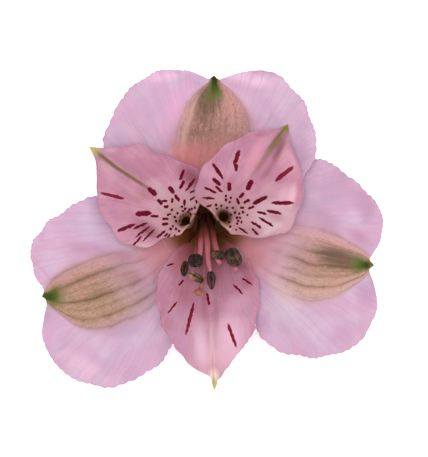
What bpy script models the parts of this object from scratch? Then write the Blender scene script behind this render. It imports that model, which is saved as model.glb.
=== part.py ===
# Alstroemeria flower: one bloom on its own short stalk, lying on a surface.
#
# The bloom is drawn in its own frame, in millimetres: +X to the right and +Y up as one
# looks into the flower, +Z out of the flower along its axis. An empty tilts and rolls
# that frame onto the surface. Each tepal is lofted through a few stations, from its claw
# on the ovary to its tip. A station gives the midrib, the left margin and the right
# margin, each as (along, across, depth), and how far the sheet curls between them.
# "along" runs out from the flower's axis in the tepal's own direction, "across" is to its
# left, and "depth" is the height along the flower's axis.

import math

import bmesh
import bpy
import numpy as np
from mathutils import Euler, Matrix, Vector

MM = 0.001

# How the flower lies
TILT = 34.0                 # degrees, the flower's axis above the surface
ROLL = 7.0                  # degrees, right side down, which levels the two side tepals
CENTRE_X = 0.24             # mm, moves the middle of the whole box to the origin
CENTRE_Y = -23.09           # mm
HEIGHT = 25.07              # mm, the flower's axis above the surface at depth 0

# Sizes shared by the pieces, in mm
SHEET = 0.6                 # thickness of a tepal
OVARY_TOP = -28.5           # depth of the ovary's flat top
SEAT = 0.3                  # gap between the ovary and what stands on it
BASE = OVARY_TOP + SEAT     # depth at which tepals, filaments and style start
ROLLED = 90.0               # degrees, past which a curl no longer widens the sheet

CLAW_ROWS = 6
BLADE_ROWS = 19
HALF_COLUMNS = 7            # columns on each side of the midrib
WAVE_DEPTH = 0.50           # mm, waves of the outer margins
INNER_WAVE_DEPTH = 0.15     # mm
WAVE_LAG = 0.07             # the two margins' waves are out of step by this part
WAVE_FULL_WIDTH = 6.0       # mm, half width from which the waves have their full height
CLAW_STATIONS = 4           # stations that belong to the claw, the rest to the blade

OUTER_CLAW = [
    # radius, depth, half width, curl
    (3.4, BASE, 1.2, 25.0),
    (4.5, -22.0, 2.0, 28.0),
    (6.2, -15.5, 3.6, 32.0),
]

TEPALS = {
    "outer_tepal_top": {
        "direction": 86.8,
        "claw": OUTER_CLAW,
        "claw_shift": 0.36,
        "waves": (7.0, 0.4, WAVE_DEPTH),
        "colour": "outer",
        "blade": [
            # midrib              left margin           right margin          curl
            ((8.0, 0.0, -10.6), (7.2, 6.0, -10.0), (7.2, -6.0, -9.8), 24.0),
            ((10.6, 0.0, -7.0), (7.8, 11.0, -5.6), (7.9, -10.8, -4.8), 12.0),
            ((13.8, 0.0, -4.3), (8.7, 17.8, -3.2), (9.0, -17.4, -1.8), 4.0),
            ((17.5, 0.0, -3.0), (13.4, 20.3, -2.4), (13.6, -20.1, -0.9), 2.0),
            ((21.0, 0.0, -2.2), (19.7, 18.8, -1.8), (19.7, -18.9, -0.8), 2.0),
            ((23.7, 0.0, -1.8), (25.2, 14.7, -1.4), (25.8, -15.2, -1.0), 2.0),
            ((25.4, 0.0, -1.8), (28.1, 9.4, -1.6), (29.1, -9.8, -1.5), 2.0),
            ((26.0, 0.0, -1.9), (28.0, 5.2, -2.0), (28.5, -5.4, -2.0), 2.0),
            ((26.6, 0.0, -2.1), (27.2, 1.7, -2.15), (27.4, -1.7, -2.15), 2.0),
        ],
        "tip": (28.2, 0.0, -2.5),
    },
    "outer_tepal_left": {
        "direction": 204.4,
        "claw": OUTER_CLAW,
        "claw_shift": 0.49,
        "waves": (8.0, 1.9, WAVE_DEPTH),
        "colour": "outer",
        "blade": [
            ((8.2, 0.0, -10.6), (7.6, 6.2, -10.2), (7.4, -4.8, -10.2), 24.0),
            ((11.0, 0.0, -7.0), (9.6, 10.4, -6.6), (9.4, -7.4, -6.6), 12.0),
            ((14.5, 0.0, -4.3), (12.2, 15.0, -4.0), (12.2, -10.4, -3.6), 4.0),
            ((19.0, 0.0, -3.0), (16.9, 19.8, -3.0), (16.7, -13.2, -2.4), 2.0),
            ((23.5, 0.0, -2.4), (23.0, 22.0, -2.2), (21.3, -13.5, -1.8), 2.0),
            ((27.5, 0.0, -2.2), (28.6, 21.5, -1.9), (26.2, -12.4, -1.6), 2.0),
            ((30.1, 0.0, -2.4), (33.4, 18.2, -1.9), (30.0, -10.7, -1.8), 2.0),
            ((31.3, 0.0, -2.6), (36.8, 12.6, -2.2), (32.3, -8.4, -2.2), 2.0),
            ((31.7, 0.0, -2.8), (37.4, 7.5, -2.6), (33.1, -5.2, -2.8), 2.0),
            ((32.0, 0.0, -2.95), (35.4, 3.6, -3.0), (32.9, -2.4, -3.0), 2.0),
            ((32.6, 0.0, -3.1), (34.1, 1.6, -3.15), (33.1, -1.2, -3.15), 2.0),
        ],
        "tip": (34.8, 0.0, -3.5),
    },
    "outer_tepal_right": {
        "direction": -14.4,
        "claw": OUTER_CLAW,
        "claw_shift": -0.72,
        "waves": (8.0, 3.0, WAVE_DEPTH),
        "colour": "outer",
        "blade": [
            ((8.2, 0.0, -10.6), (7.6, 5.2, -10.4), (7.4, -6.0, -10.2), 24.0),
            ((11.0, 0.0, -7.0), (10.2, 8.0, -7.4), (9.6, -9.8, -6.6), 12.0),
            ((14.2, 0.0, -4.4), (13.0, 11.2, -5.4), (12.2, -13.6, -4.2), 4.0),
            ((18.5, 0.0, -3.2), (17.6, 16.8, -4.4), (16.0, -19.3, -3.2), 2.0),
            ((22.5, 0.0, -2.6), (22.2, 16.1, -3.6), (21.8, -20.9, -2.6), 2.0),
            ((26.5, 0.0, -2.3), (26.6, 13.6, -2.8), (27.6, -19.9, -2.2), 2.0),
            ((29.2, 0.0, -2.3), (30.6, 11.0, -2.4), (32.6, -17.0, -2.2), 2.0),
            ((30.4, 0.0, -2.4), (32.5, 7.2, -2.4), (35.2, -12.2, -2.4), 2.0),
            ((31.0, 0.0, -2.6), (32.4, 3.8, -2.7), (35.6, -7.4, -2.8), 2.0),
            ((31.5, 0.0, -2.8), (32.1, 1.7, -3.0), (33.9, -3.6, -3.1), 2.0),
        ],
        "tip": (33.3, 0.0, -3.4),
    },
    "inner_tepal_left": {
        "direction": 147.2,
        "claw": [],
        "claw_shift": 0.0,
        "waves": (6.0, 0.8, INNER_WAVE_DEPTH),
        "colour": "inner",
        "blade": [
            # the claw is rolled into a gutter that opens towards the flower's axis
            ((2.6, 0.2, BASE), (2.6, 1.2, BASE), (2.6, -0.8, BASE), 50.0),
            ((3.2, 0.8, -22.0), (3.2, 1.9, -22.0), (3.2, -0.3, -22.0), 80.0),
            ((4.0, 1.6, -14.0), (4.0, 2.9, -14.0), (4.0, 0.3, -14.0), 115.0),
            ((4.5, 2.1, -8.0), (4.5, 3.6, -8.0), (4.5, 0.6, -8.0), 130.0),
            ((4.9, 2.2, -4.6), (4.9, 3.9, -4.6), (4.9, 0.5, -4.6), 122.0),
            ((6.0, 1.9, -2.4), (4.3, 4.7, -2.2), (4.3, -0.9, -2.7), 80.0),
            ((7.6, 1.4, -1.0), (5.1, 6.7, -1.2), (4.1, -3.7, -1.5), 40.0),
            ((10.0, 0.8, -0.2), (6.9, 9.8, -0.4), (5.3, -7.0, -0.6), 15.0),
            ((13.5, 0.3, 0.5), (10.9, 11.7, 0.5), (9.7, -7.2, 0.5), 6.0),
            ((17.0, 0.0, 1.0), (15.5, 10.3, 0.9), (14.2, -6.3, 1.1), 3.0),
            ((20.3, 0.0, 1.2), (19.3, 8.0, 1.0), (18.4, -5.6, 1.2), 2.0),
            ((22.9, 0.0, 1.0), (21.9, 4.2, 0.9), (21.8, -3.1, 1.0), 2.0),
            ((24.5, 0.0, 0.7), (23.9, 1.6, 0.6), (24.2, -1.2, 0.6), 2.0),
        ],
        "tip": (26.4, 0.0, 0.4),
    },
    "inner_tepal_right": {
        "direction": 49.9,
        "claw": [],
        "claw_shift": 0.0,
        "waves": (6.0, 2.4, INNER_WAVE_DEPTH),
        "colour": "inner",
        "blade": [
            ((2.5, -0.7, BASE), (2.5, 0.3, BASE), (2.5, -1.7, BASE), 50.0),
            ((3.2, -1.1, -22.0), (3.2, 0.0, -22.0), (3.2, -2.2, -22.0), 80.0),
            ((3.8, -1.6, -14.0), (3.8, -0.3, -14.0), (3.8, -2.9, -14.0), 115.0),
            ((4.2, -1.9, -8.0), (4.2, -0.5, -8.0), (4.2, -3.3, -8.0), 130.0),
            ((4.5, -2.0, -4.3), (4.5, -0.4, -4.3), (4.5, -3.6, -4.3), 122.0),
            ((5.5, -1.8, -2.0), (3.9, 1.1, -1.2), (4.0, -4.7, -2.0), 80.0),
            ((7.0, -1.3, -0.4), (3.6, 4.7, 0.7), (3.7, -7.0, -0.8), 40.0),
            ((9.3, -0.8, 0.6), (5.4, 6.5, 1.7), (4.8, -9.9, 0.2), 15.0),
            ((12.5, -0.3, 1.4), (9.2, 7.0, 2.2), (8.1, -12.6, 1.2), 6.0),
            ((16.0, 0.0, 1.9), (14.0, 6.3, 2.3), (13.4, -11.9, 1.7), 3.0),
            ((19.0, 0.0, 2.1), (17.6, 4.9, 2.2), (17.2, -9.6, 1.9), 2.0),
            ((21.1, 0.0, 1.9), (20.4, 2.9, 2.0), (20.2, -5.3, 1.8), 2.0),
            ((22.4, 0.0, 1.6), (22.0, 1.2, 1.6), (22.2, -1.9, 1.5), 2.0),
        ],
        "tip": (24.2, 0.0, 1.3),
    },
    "inner_tepal_lower": {
        "direction": -87.2,
        "claw": [],
        "claw_shift": 0.0,
        "waves": (7.0, 1.2, INNER_WAVE_DEPTH),
        "colour": "inner",
        "blade": [
            ((2.6, 0.0, BASE), (2.6, 1.0, BASE), (2.6, -1.0, BASE), 50.0),
            ((3.2, 0.0, -22.0), (3.2, 1.2, -22.0), (3.2, -1.2, -22.0), 60.0),
            ((4.3, 0.0, -15.0), (4.2, 1.9, -15.0), (4.2, -1.9, -15.0), 55.0),
            ((6.3, 0.0, -9.5), (5.6, 3.6, -9.6), (5.4, -3.1, -9.6), 45.0),
            ((9.0, 0.0, -5.8), (6.8, 6.2, -5.4), (5.8, -5.0, -5.4), 28.0),
            ((12.2, 0.0, -3.2), (9.7, 8.2, -2.7), (8.7, -7.9, -2.7), 14.0),
            ((15.8, 0.0, -1.2), (13.7, 9.6, -1.0), (13.5, -10.2, -1.0), 6.0),
            ((19.6, 0.0, 0.3), (18.4, 8.8, 0.3), (18.2, -9.5, 0.3), 3.0),
            ((23.2, 0.0, 1.3), (22.4, 7.3, 1.1), (22.6, -7.5, 1.1), 2.0),
            ((26.2, 0.0, 2.0), (25.5, 4.9, 1.8), (25.9, -5.4, 1.8), 2.0),
            ((28.3, 0.0, 2.6), (28.0, 2.7, 2.5), (28.0, -2.8, 2.5), 2.0),
            ((29.8, 0.0, 3.1), (29.8, 0.9, 3.2), (29.5, -0.9, 3.2), 2.0),
        ],
        "tip": (31.8, 0.0, 4.0),
    },
}

# Stamens: where the anther's middle lies, which way it points from its filament, its
# length, width and thickness, and where its filament stands on the ovary (degrees)
STAMENS = [
    # middle              points            length width thick  stands
    ((-4.2, -8.9, 3.4), (-0.15, -0.95, 0.25), 3.0, 1.4, 1.4, 180.0),
    ((-1.9, -7.4, 4.6), (-0.05, 0.30, 0.95), 3.0, 2.6, 1.7, 120.0),
    ((-1.9, -10.4, 3.2), (0.86, -0.45, 0.25), 3.1, 1.5, 1.5, 240.0),
    ((1.0, -11.0, 3.0), (0.06, -0.97, 0.22), 3.4, 1.7, 1.5, 300.0),
    ((2.4, -6.3, 4.0), (0.93, -0.15, 0.35), 2.8, 1.5, 1.5, 60.0),
    ((5.3, -6.8, 3.6), (0.38, -0.80, 0.45), 3.6, 2.6, 1.8, 0.0),
]
FILAMENT_RING = 1.55
FILAMENT_BASE = 0.42        # radius at the ovary
FILAMENT_END = 0.26         # radius at the anther
FILAMENT_SIDES = 6
FILAMENT_RINGS = 16
ANTHER_SIDES = 10
ANTHER_PROFILE = [
    # part of the length from the middle, part of the width
    (-0.5, 0.30),
    (-0.38, 0.72),
    (-0.15, 0.98),
    (0.15, 1.0),
    (0.38, 0.70),
    (0.5, 0.25),
]
ANTHER_GROOVE = 0.30        # depth of the slit between the two lobes, of the radius
ANTHER_GROOVE_POWER = 6     # the higher, the narrower the slit

STYLE_PATH = [
    (0.0, 0.0, BASE),
    (0.1, 0.0, -18.0),
    (0.3, -1.2, -10.0),
    (0.2, -4.8, -4.4),
    (-0.3, -8.6, -0.6),
    (-0.7, -11.2, 1.2),
    (-1.3, -13.3, 2.2),
]
STYLE_RADIUS = 0.32
STIGMA_RADIUS = 0.85
STIGMA_LENGTH = 2.2
STIGMA_BRANCH = 0.45        # how far the three branches stand out, of the radius
STYLE_RINGS = 18
STYLE_SIDES = 12

OVARY_PROFILE = [
    # depth below the ovary's top, radius
    (0.0, 3.1),
    (0.5, 3.6),
    (2.2, 3.8),
    (4.2, 3.4),
    (6.0, 2.5),
    (7.4, 1.7),
    (8.4, 1.3),
]
RIB = 0.08                  # height of the six ribs, of the radius
RIBS = 6
STALK_RADIUS = 1.2
STALK_BEND_RINGS = 6
STALK_RUN = 26.0            # length that lies on the surface
STALK_RUN_RINGS = 7
STALK_SWING = 3.0           # how far the cut end lies to one side
STALK_SIDES = 18
LIFT = 0.02                 # keeps the stalk just clear of the surface

COLOURS = {
    # red, green, blue, roughness
    "outer": (0.69, 0.42, 0.60, 0.55),
    "inner": (0.66, 0.34, 0.47, 0.50),
    "filament": (0.55, 0.16, 0.20, 0.45),
    "anther": (0.09, 0.06, 0.05, 0.80),
    "style": (0.60, 0.26, 0.17, 0.50),
    "green": (0.20, 0.32, 0.09, 0.50),
}


def clear_scene():
    for item in list(bpy.data.objects):
        bpy.data.objects.remove(item, do_unlink=True)


def make_material(name):
    red, green, blue, roughness = COLOURS[name]
    material = bpy.data.materials.new(name)
    material.use_nodes = True
    shader = material.node_tree.nodes["Principled BSDF"]
    shader.inputs["Base Color"].default_value = (red, green, blue, 1.0)
    shader.inputs["Roughness"].default_value = roughness
    shader.inputs["Metallic"].default_value = 0.0
    material.diffuse_color = (red, green, blue, 1.0)
    return material


def flower_frame():
    # The empty that carries every piece: turned about the flower's axis, then tilted
    frame = bpy.data.objects.new("flower_frame", None)
    bpy.context.collection.objects.link(frame)
    frame.rotation_mode = "ZYX"
    frame.rotation_euler = (math.radians(90.0 - TILT), 0.0, math.radians(-ROLL))
    frame.location = (CENTRE_X * MM, CENTRE_Y * MM, HEIGHT * MM)
    return frame


def frame_matrix():
    turn = Euler((math.radians(90.0 - TILT), 0.0, math.radians(-ROLL)), "ZYX")
    place = Matrix.Translation((CENTRE_X, CENTRE_Y, HEIGHT))
    return place @ turn.to_matrix().to_4x4()


def add_object(name, mesh_data, material, frame):
    mesh = bpy.data.meshes.new(name)
    mesh_data.to_mesh(mesh)
    mesh_data.free()
    mesh.materials.append(material)
    mesh.shade_smooth()
    item = bpy.data.objects.new(name, mesh)
    item.parent = frame
    bpy.context.collection.objects.link(item)
    return item


def knots_through(points):
    # Distances along a list of points, from 0 to 1
    steps = np.linalg.norm(np.diff(points, axis=0), axis=1)
    knots = np.concatenate([[0.0], np.cumsum(steps)])
    return knots / knots[-1]


def smooth(values, knots, where):
    # A smooth curve through rows of values, with tangents from the neighbouring rows
    values = np.asarray(values, dtype=float)
    slopes = np.zeros_like(values)
    steps = np.diff(knots)
    chords = np.diff(values, axis=0) / steps[:, None]
    slopes[0] = chords[0]
    slopes[-1] = chords[-1]
    before = steps[:-1, None]
    after = steps[1:, None]
    slopes[1:-1] = (chords[:-1] * after + chords[1:] * before) / (before + after)
    found = []
    for place in where:
        index = min(int(np.searchsorted(knots, place, side="right")) - 1, len(steps) - 1)
        step = steps[index]
        part = (place - knots[index]) / step
        rise = part * part * (3.0 - 2.0 * part)
        lead = part * (1.0 - part) ** 2
        trail = part * part * (part - 1.0)
        found.append(
            values[index] * (1.0 - rise)
            + values[index + 1] * rise
            + slopes[index] * step * lead
            + slopes[index + 1] * step * trail
        )
    return np.array(found)


def tepal_stations(tepal):
    # Every station as ten numbers: midrib, left margin, right margin, curl
    rows = []
    for step, (radius, depth, half, curl) in enumerate(tepal["claw"]):
        shift = tepal["claw_shift"] * (1.0 - step / len(tepal["claw"]))
        midrib = (radius, shift, depth)
        left = (radius, shift + half, depth)
        right = (radius, shift - half, depth)
        rows.append((*midrib, *left, *right, curl))
    for midrib, left, right, curl in tepal["blade"]:
        rows.append((*midrib, *left, *right, curl))
    tip = tepal["tip"]
    rows.append((*tip, *tip, *tip, rows[-1][-1]))
    return np.array(rows)


def tepal_row(values, tangent, across, waves, place):
    # One row of the sheet, from the right margin to the left margin
    midrib = values[0:3]
    left = values[3:6]
    right = values[6:9]
    curl = math.radians(max(values[9], 1.0))
    widest = math.sin(min(curl, math.radians(ROLLED)))
    normal = np.cross(tangent, across)
    count, phase, height = waves
    row = []
    for column in range(-HALF_COLUMNS, HALF_COLUMNS + 1):
        side = column / HALF_COLUMNS
        reach = (left if side > 0 else right) - midrib
        wide = float(np.dot(reach, across))
        radius = abs(wide) / widest
        angle = curl * side
        point = midrib + across * radius * math.sin(angle)
        point = point + normal * radius * (1.0 - math.cos(angle))
        point = point + (reach - across * wide) * side * side
        swing = 2.0 * math.pi * count * (place + WAVE_LAG * math.copysign(1.0, side)) + phase
        fade = min(abs(wide) / WAVE_FULL_WIDTH, 1.0) * place
        point[2] += height * fade * abs(side) ** 3 * math.sin(swing)
        row.append(point)
    return row


def turned(point, direction):
    # From a tepal's own along, across and depth into the flower's frame
    turn = math.radians(direction)
    return np.array((
        point[0] * math.cos(turn) - point[1] * math.sin(turn),
        point[0] * math.sin(turn) + point[1] * math.cos(turn),
        point[2],
    ))


def tepal_sheet(tepal):
    # All rows of a tepal, and its tip, in the flower's frame
    stations = tepal_stations(tepal)
    margins = np.concatenate([stations[:, 3:6], stations[:, 6:9]], axis=1)
    knots = knots_through(margins)
    claw_end = knots[CLAW_STATIONS]
    where = list(np.linspace(0.0, claw_end, CLAW_ROWS)[:-1])
    where += list(np.linspace(claw_end, 1.0, BLADE_ROWS))
    values = smooth(stations, knots, where)
    tangents = np.gradient(values[:, 0:3], axis=0)
    rows = []
    for index, place in enumerate(where[:-1]):
        tangent = tangents[index] / np.linalg.norm(tangents[index])
        across = values[index, 3:6] - values[index, 6:9]
        across = across - tangent * np.dot(across, tangent)
        across = across / np.linalg.norm(across)
        points = tepal_row(values[index], tangent, across, tepal["waves"], place)
        rows.append([turned(point, tepal["direction"]) for point in points])
    return rows, turned(values[-1, 0:3], tepal["direction"])


def sheet_faces(rows, columns):
    # Triangles between the rows, with the diagonals mirrored about the midrib, and the
    # last row closed on the tip, which comes after all the rows
    faces = []
    for row in range(rows - 1):
        for i in range(columns - 1):
            lower = row * columns + i
            upper = lower + columns
            if i < HALF_COLUMNS:
                faces.append((lower, upper + 1, upper))
                faces.append((lower, lower + 1, upper + 1))
            else:
                faces.append((lower, lower + 1, upper))
                faces.append((lower + 1, upper + 1, upper))
    last = (rows - 1) * columns
    for i in range(columns - 1):
        faces.append((last + i, last + i + 1, rows * columns))
    return faces


def sheet_rim(rows, columns):
    # The sheet's outline, once round: the claw's end, one margin, the tip, the other margin
    rim = list(range(columns - 1, -1, -1))
    rim += [row * columns for row in range(1, rows)]
    rim.append(rows * columns)
    rim += [row * columns + columns - 1 for row in range(rows - 1, 0, -1)]
    return rim


def build_tepal(name, tepal, material, frame):
    rows, tip = tepal_sheet(tepal)
    grid = np.array(rows)
    normals = np.cross(np.gradient(grid, axis=0), np.gradient(grid, axis=1))
    normals /= np.linalg.norm(normals, axis=2)[:, :, None]
    tip_normal = normals[-1].mean(axis=0)
    points = np.concatenate([grid.reshape(-1, 3), [tip]])
    offsets = np.concatenate([normals.reshape(-1, 3), [tip_normal]]) * SHEET / 2.0

    body = bmesh.new()
    front = [body.verts.new(Vector(p) * MM) for p in points + offsets]
    back = [body.verts.new(Vector(p) * MM) for p in points - offsets]
    for a, b, c in sheet_faces(len(rows), len(rows[0])):
        body.faces.new((front[a], front[b], front[c]))
        body.faces.new((back[a], back[c], back[b]))
    rim = sheet_rim(len(rows), len(rows[0]))
    for a, b in zip(rim, rim[1:] + rim[:1]):
        body.faces.new((front[a], front[b], back[b]))
        body.faces.new((front[a], back[b], back[a]))
    bmesh.ops.recalc_face_normals(body, faces=body.faces)
    return add_object(name, body, material, frame)


def ring_frames(path):
    # A pair of directions square to the path at each point, carried along without twist
    path = [Vector(p) for p in path]
    side = Vector((1.0, 0.0, 0.0))
    frames = []
    for index, point in enumerate(path):
        ahead = path[min(index + 1, len(path) - 1)] - path[max(index - 1, 0)]
        ahead.normalize()
        side = (side - ahead * side.dot(ahead)).normalized()
        frames.append((point, side.copy(), ahead.cross(side)))
    return frames


def swept(path, radii, sides, shape=None):
    # A closed tube along a path; shape scales the radius by ring and angle
    body = bmesh.new()
    rings = []
    for index, (point, side, up) in enumerate(ring_frames(path)):
        ring = []
        for corner in range(sides):
            angle = 2.0 * math.pi * corner / sides
            radius = radii[index] * (shape(index, angle) if shape else 1.0)
            spoke = side * math.cos(angle) + up * math.sin(angle)
            ring.append(body.verts.new((point + spoke * radius) * MM))
        rings.append(ring)
    for lower, upper in zip(rings[:-1], rings[1:]):
        for i in range(sides):
            j = (i + 1) % sides
            body.faces.new((lower[i], lower[j], upper[j], upper[i]))
    body.faces.new(list(reversed(rings[0])))
    body.faces.new(rings[-1])
    bmesh.ops.triangulate(body, faces=body.faces)
    bmesh.ops.recalc_face_normals(body, faces=body.faces)
    return body


def filament_path(middle, points, length, stands):
    # From its place on the ovary, out of the throat, down and then up to the anther
    turn = math.radians(stands)
    base = Vector((math.cos(turn), math.sin(turn), 0.0)) * FILAMENT_RING
    aim = Vector(points).normalized()
    end = Vector(middle) - aim * (length / 2.0 + SEAT)
    corners = [
        (base.x, base.y, BASE),
        (base.x * 0.95, base.y * 0.95, -18.0),
        (base.x * 0.7 + end.x * 0.15, base.y * 0.7 - 1.4, -10.0),
        (base.x * 0.35 + end.x * 0.55, end.y * 0.55 - 1.0 + base.y * 0.3, -4.6),
        (end.x * 0.95 - aim.x * 0.9, end.y - aim.y * 0.9 - 0.9, end.z - 2.6),
        tuple(end),
    ]
    knots = knots_through(np.array(corners))
    return smooth(corners, knots, np.linspace(0.0, 1.0, FILAMENT_RINGS))


def build_stamen(number, stamen, materials, frame):
    middle, points, length, width, thick, stands = stamen
    path = filament_path(middle, points, length, stands)
    radii = np.linspace(FILAMENT_BASE, FILAMENT_END, FILAMENT_RINGS)
    body = swept(path, radii, FILAMENT_SIDES)
    add_object(f"filament_{number}", body, materials["filament"], frame)

    aim = Vector(points).normalized()
    spine = [Vector(middle) + aim * length * place for place, _ in ANTHER_PROFILE]
    flat = thick / width

    def two_lobes(index, angle):
        oval = flat / math.hypot(flat * math.cos(angle), math.sin(angle))
        slit = 1.0 - ANTHER_GROOVE * abs(math.sin(angle)) ** ANTHER_GROOVE_POWER
        return oval * slit

    radii = [width / 2.0 * size for _, size in ANTHER_PROFILE]
    body = swept(spine, radii, ANTHER_SIDES, two_lobes)
    add_object(f"anther_{number}", body, materials["anther"], frame)


def build_style(materials, frame):
    knots = knots_through(np.array(STYLE_PATH))
    where = np.linspace(0.0, 1.0, STYLE_RINGS)
    path = smooth(STYLE_PATH, knots, where)
    length = sum((Vector(b) - Vector(a)).length for a, b in zip(path[:-1], path[1:]))
    stigma_start = 1.0 - STIGMA_LENGTH / length
    spread = [max(0.0, (place - stigma_start) / (1.0 - stigma_start)) for place in where]
    radii = [STYLE_RADIUS + (STIGMA_RADIUS - STYLE_RADIUS) * part for part in spread]

    def three_branches(index, angle):
        return 1.0 + STIGMA_BRANCH * spread[index] * math.cos(3.0 * angle)

    body = swept(path, radii, STYLE_SIDES, three_branches)
    add_object("style", body, materials["style"], frame)


def stalk_path():
    # From the ovary's end, bending until it lies level on the surface behind the flower
    place = frame_matrix()
    tilt = math.radians(TILT)
    start = place @ Vector((0.0, 0.0, OVARY_TOP - OVARY_PROFILE[-1][0]))
    drop = start.z - STALK_RADIUS - LIFT
    bend = drop / (1.0 - math.cos(tilt))
    back = place.inverted()
    path = []
    for step in range(1, STALK_BEND_RINGS + 1):
        turned = tilt * step / STALK_BEND_RINGS
        run = bend * (math.sin(tilt) - math.sin(tilt - turned))
        fall = bend * (math.cos(tilt - turned) - math.cos(tilt))
        path.append(back @ Vector((start.x, start.y + run, start.z - fall)))
    end = place @ path[-1]
    for step in range(1, STALK_RUN_RINGS + 1):
        part = step / STALK_RUN_RINGS
        swung = end.x + STALK_SWING * part * part
        path.append(back @ Vector((swung, end.y + STALK_RUN * part, end.z)))
    return path


def build_stalk_and_ovary(materials, frame):
    path = [Vector((0.0, 0.0, OVARY_TOP - down)) for down, _ in OVARY_PROFILE] + stalk_path()
    radii = [radius for _, radius in OVARY_PROFILE]
    radii += [STALK_RADIUS] * (len(path) - len(radii))

    def ribbed(index, angle):
        return 1.0 + (RIB * math.cos(RIBS * angle) if index < len(OVARY_PROFILE) else 0.0)

    body = swept(path, radii, STALK_SIDES, ribbed)
    add_object("stalk_and_ovary", body, materials["green"], frame)


def main():
    clear_scene()
    materials = {name: make_material(name) for name in COLOURS}
    frame = flower_frame()
    for name, tepal in TEPALS.items():
        build_tepal(name, tepal, materials[tepal["colour"]], frame)
    for number, stamen in enumerate(STAMENS, start=1):
        build_stamen(number, stamen, materials, frame)
    build_style(materials, frame)
    build_stalk_and_ovary(materials, frame)


main()
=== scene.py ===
import math

import bpy
import numpy as np
from mathutils import Euler, Matrix, Vector, noise


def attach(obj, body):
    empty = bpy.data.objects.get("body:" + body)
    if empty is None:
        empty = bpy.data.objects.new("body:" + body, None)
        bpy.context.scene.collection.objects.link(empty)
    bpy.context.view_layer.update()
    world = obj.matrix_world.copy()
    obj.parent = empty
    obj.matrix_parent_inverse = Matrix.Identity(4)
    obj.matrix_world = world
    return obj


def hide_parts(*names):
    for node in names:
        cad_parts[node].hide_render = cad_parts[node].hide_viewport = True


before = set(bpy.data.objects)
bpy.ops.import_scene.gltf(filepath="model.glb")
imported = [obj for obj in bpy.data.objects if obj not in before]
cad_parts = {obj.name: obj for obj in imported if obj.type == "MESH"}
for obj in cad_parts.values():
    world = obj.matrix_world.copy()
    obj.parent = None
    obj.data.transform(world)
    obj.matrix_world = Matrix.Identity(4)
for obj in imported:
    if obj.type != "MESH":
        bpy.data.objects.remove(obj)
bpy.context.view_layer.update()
mm = 0.001

# How the flower lies: its own frame (right, up, out of the flower) is rolled, tilted and moved
lie = {
    "tilt": 34.0,                       # degrees, the flower's axis above the surface
    "roll": 7.0,                        # degrees, right side down
    "middle": (0.24, -23.09, 25.07),    # mm
}
flowerTurn = Euler((math.radians(90.0 - lie["tilt"]), 0.0, math.radians(-lie["roll"])), "ZYX")
flowerPlace = Matrix.Translation(Vector(lie["middle"]) * mm) @ flowerTurn.to_matrix().to_4x4()
print("frame loaded")


# Colours are given as they look on a screen, 0 to 255, beside white paper. The flower sends back
# less of the bright light than the paper does
flowerShare = 0.50


def tint(red, green, blue, share=flowerShare):
    parts = [channel / 255.0 for channel in (red, green, blue)]
    parts = [p / 12.92 if p < 0.04045 else ((p + 0.055) / 1.055) ** 2.4 for p in parts]
    return tuple(p * share for p in parts) + (1.0,)


# Materials are built out of nodes. A wire is a value in the material on the bench, and adding,
# multiplying or fading wires adds the nodes that do so
bench = {"tree": None, "look": None}


class Wire:
    def __init__(self, socket):
        self.socket = socket

    def __add__(self, other):
        return calc("ADD", self, other)

    def __sub__(self, other):
        return calc("SUBTRACT", self, other)

    def __mul__(self, other):
        return calc("MULTIPLY", self, other)

    def __truediv__(self, other):
        return calc("DIVIDE", self, other)

    def __abs__(self):
        return calc("ABSOLUTE", self)

    def fade(self, start, end):     # 0 at the start, 1 at the end and soft between them
        return put("ShaderNodeMapRange", {"Value": self, "From Min": start, "From Max": end}, "Result",
                   interpolation_type="SMOOTHSTEP")


def feed(socket, value):
    if isinstance(value, Wire):
        bench["tree"].links.new(value.socket, socket)
    else:
        socket.default_value = value


def put(kind, inputs, output=0, **settings):
    made = bench["tree"].nodes.new(kind)
    for name, value in settings.items():
        setattr(made, name, value)
    for name, value in inputs.items():
        feed(made.inputs[name], value)
    return Wire(made.outputs[output])


def calc(operation, first, second=0.0):
    return put("ShaderNodeMath", {0: first, 1: second}, operation=operation)


def reckon(operation, *values):     # the same for places
    output = "Value" if operation in ("LENGTH", "DISTANCE") else "Vector"
    return put("ShaderNodeVectorMath", dict(enumerate(values)), output, operation=operation)


def blend(amount, first, second):
    return put("ShaderNodeMix", {0: amount, 6: first, 7: second}, 2, data_type="RGBA")


def layered(colour, layers):
    # Lays shades over a colour, each as thick as its amount; a shade may be a name in the look
    for amount, shade in layers:
        colour = blend(amount, colour, bench["look"][shade] if isinstance(shade, str) else shade)
    return colour


def ramp(value, stops):
    bands = bench["tree"].nodes.new("ShaderNodeValToRGB")
    feed(bands.inputs[0], value)
    while len(bands.color_ramp.elements) < len(stops):
        bands.color_ramp.elements.new(0.5)
    for element, (place, shade) in zip(bands.color_ramp.elements, stops):
        element.position = place
        element.color = shade
    return Wire(bands.outputs["Color"])


def grain(place, scale, detail=2.0, roughness=0.5):
    return put("ShaderNodeTexNoise",
               {"Vector": place, "Scale": scale, "Detail": detail, "Roughness": roughness}, "Fac")


def stored(name):
    vector = put("ShaderNodeAttribute", {}, "Vector", attribute_name=name)
    parts = bench["tree"].nodes.new("ShaderNodeSeparateXYZ")
    feed(parts.inputs["Vector"], vector)
    return vector, Wire(parts.outputs[0]), Wire(parts.outputs[1]), Wire(parts.outputs[2])


def flatPlace(across, up, third=0.0):
    return put("ShaderNodeCombineXYZ", {0: across, 1: up, 2: third})


def seenFrom(place, middle, turn, long, wide):
    # The place as counted from a spot's middle, along it and across it, 1 at the spot's rim
    spot = {"Location": (*middle, 0.0), "Rotation": (0.0, 0.0, turn), "Scale": (long, wide, 1.0)}
    return put("ShaderNodeMapping", {"Vector": place, **spot}, vector_type="TEXTURE")


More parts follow.
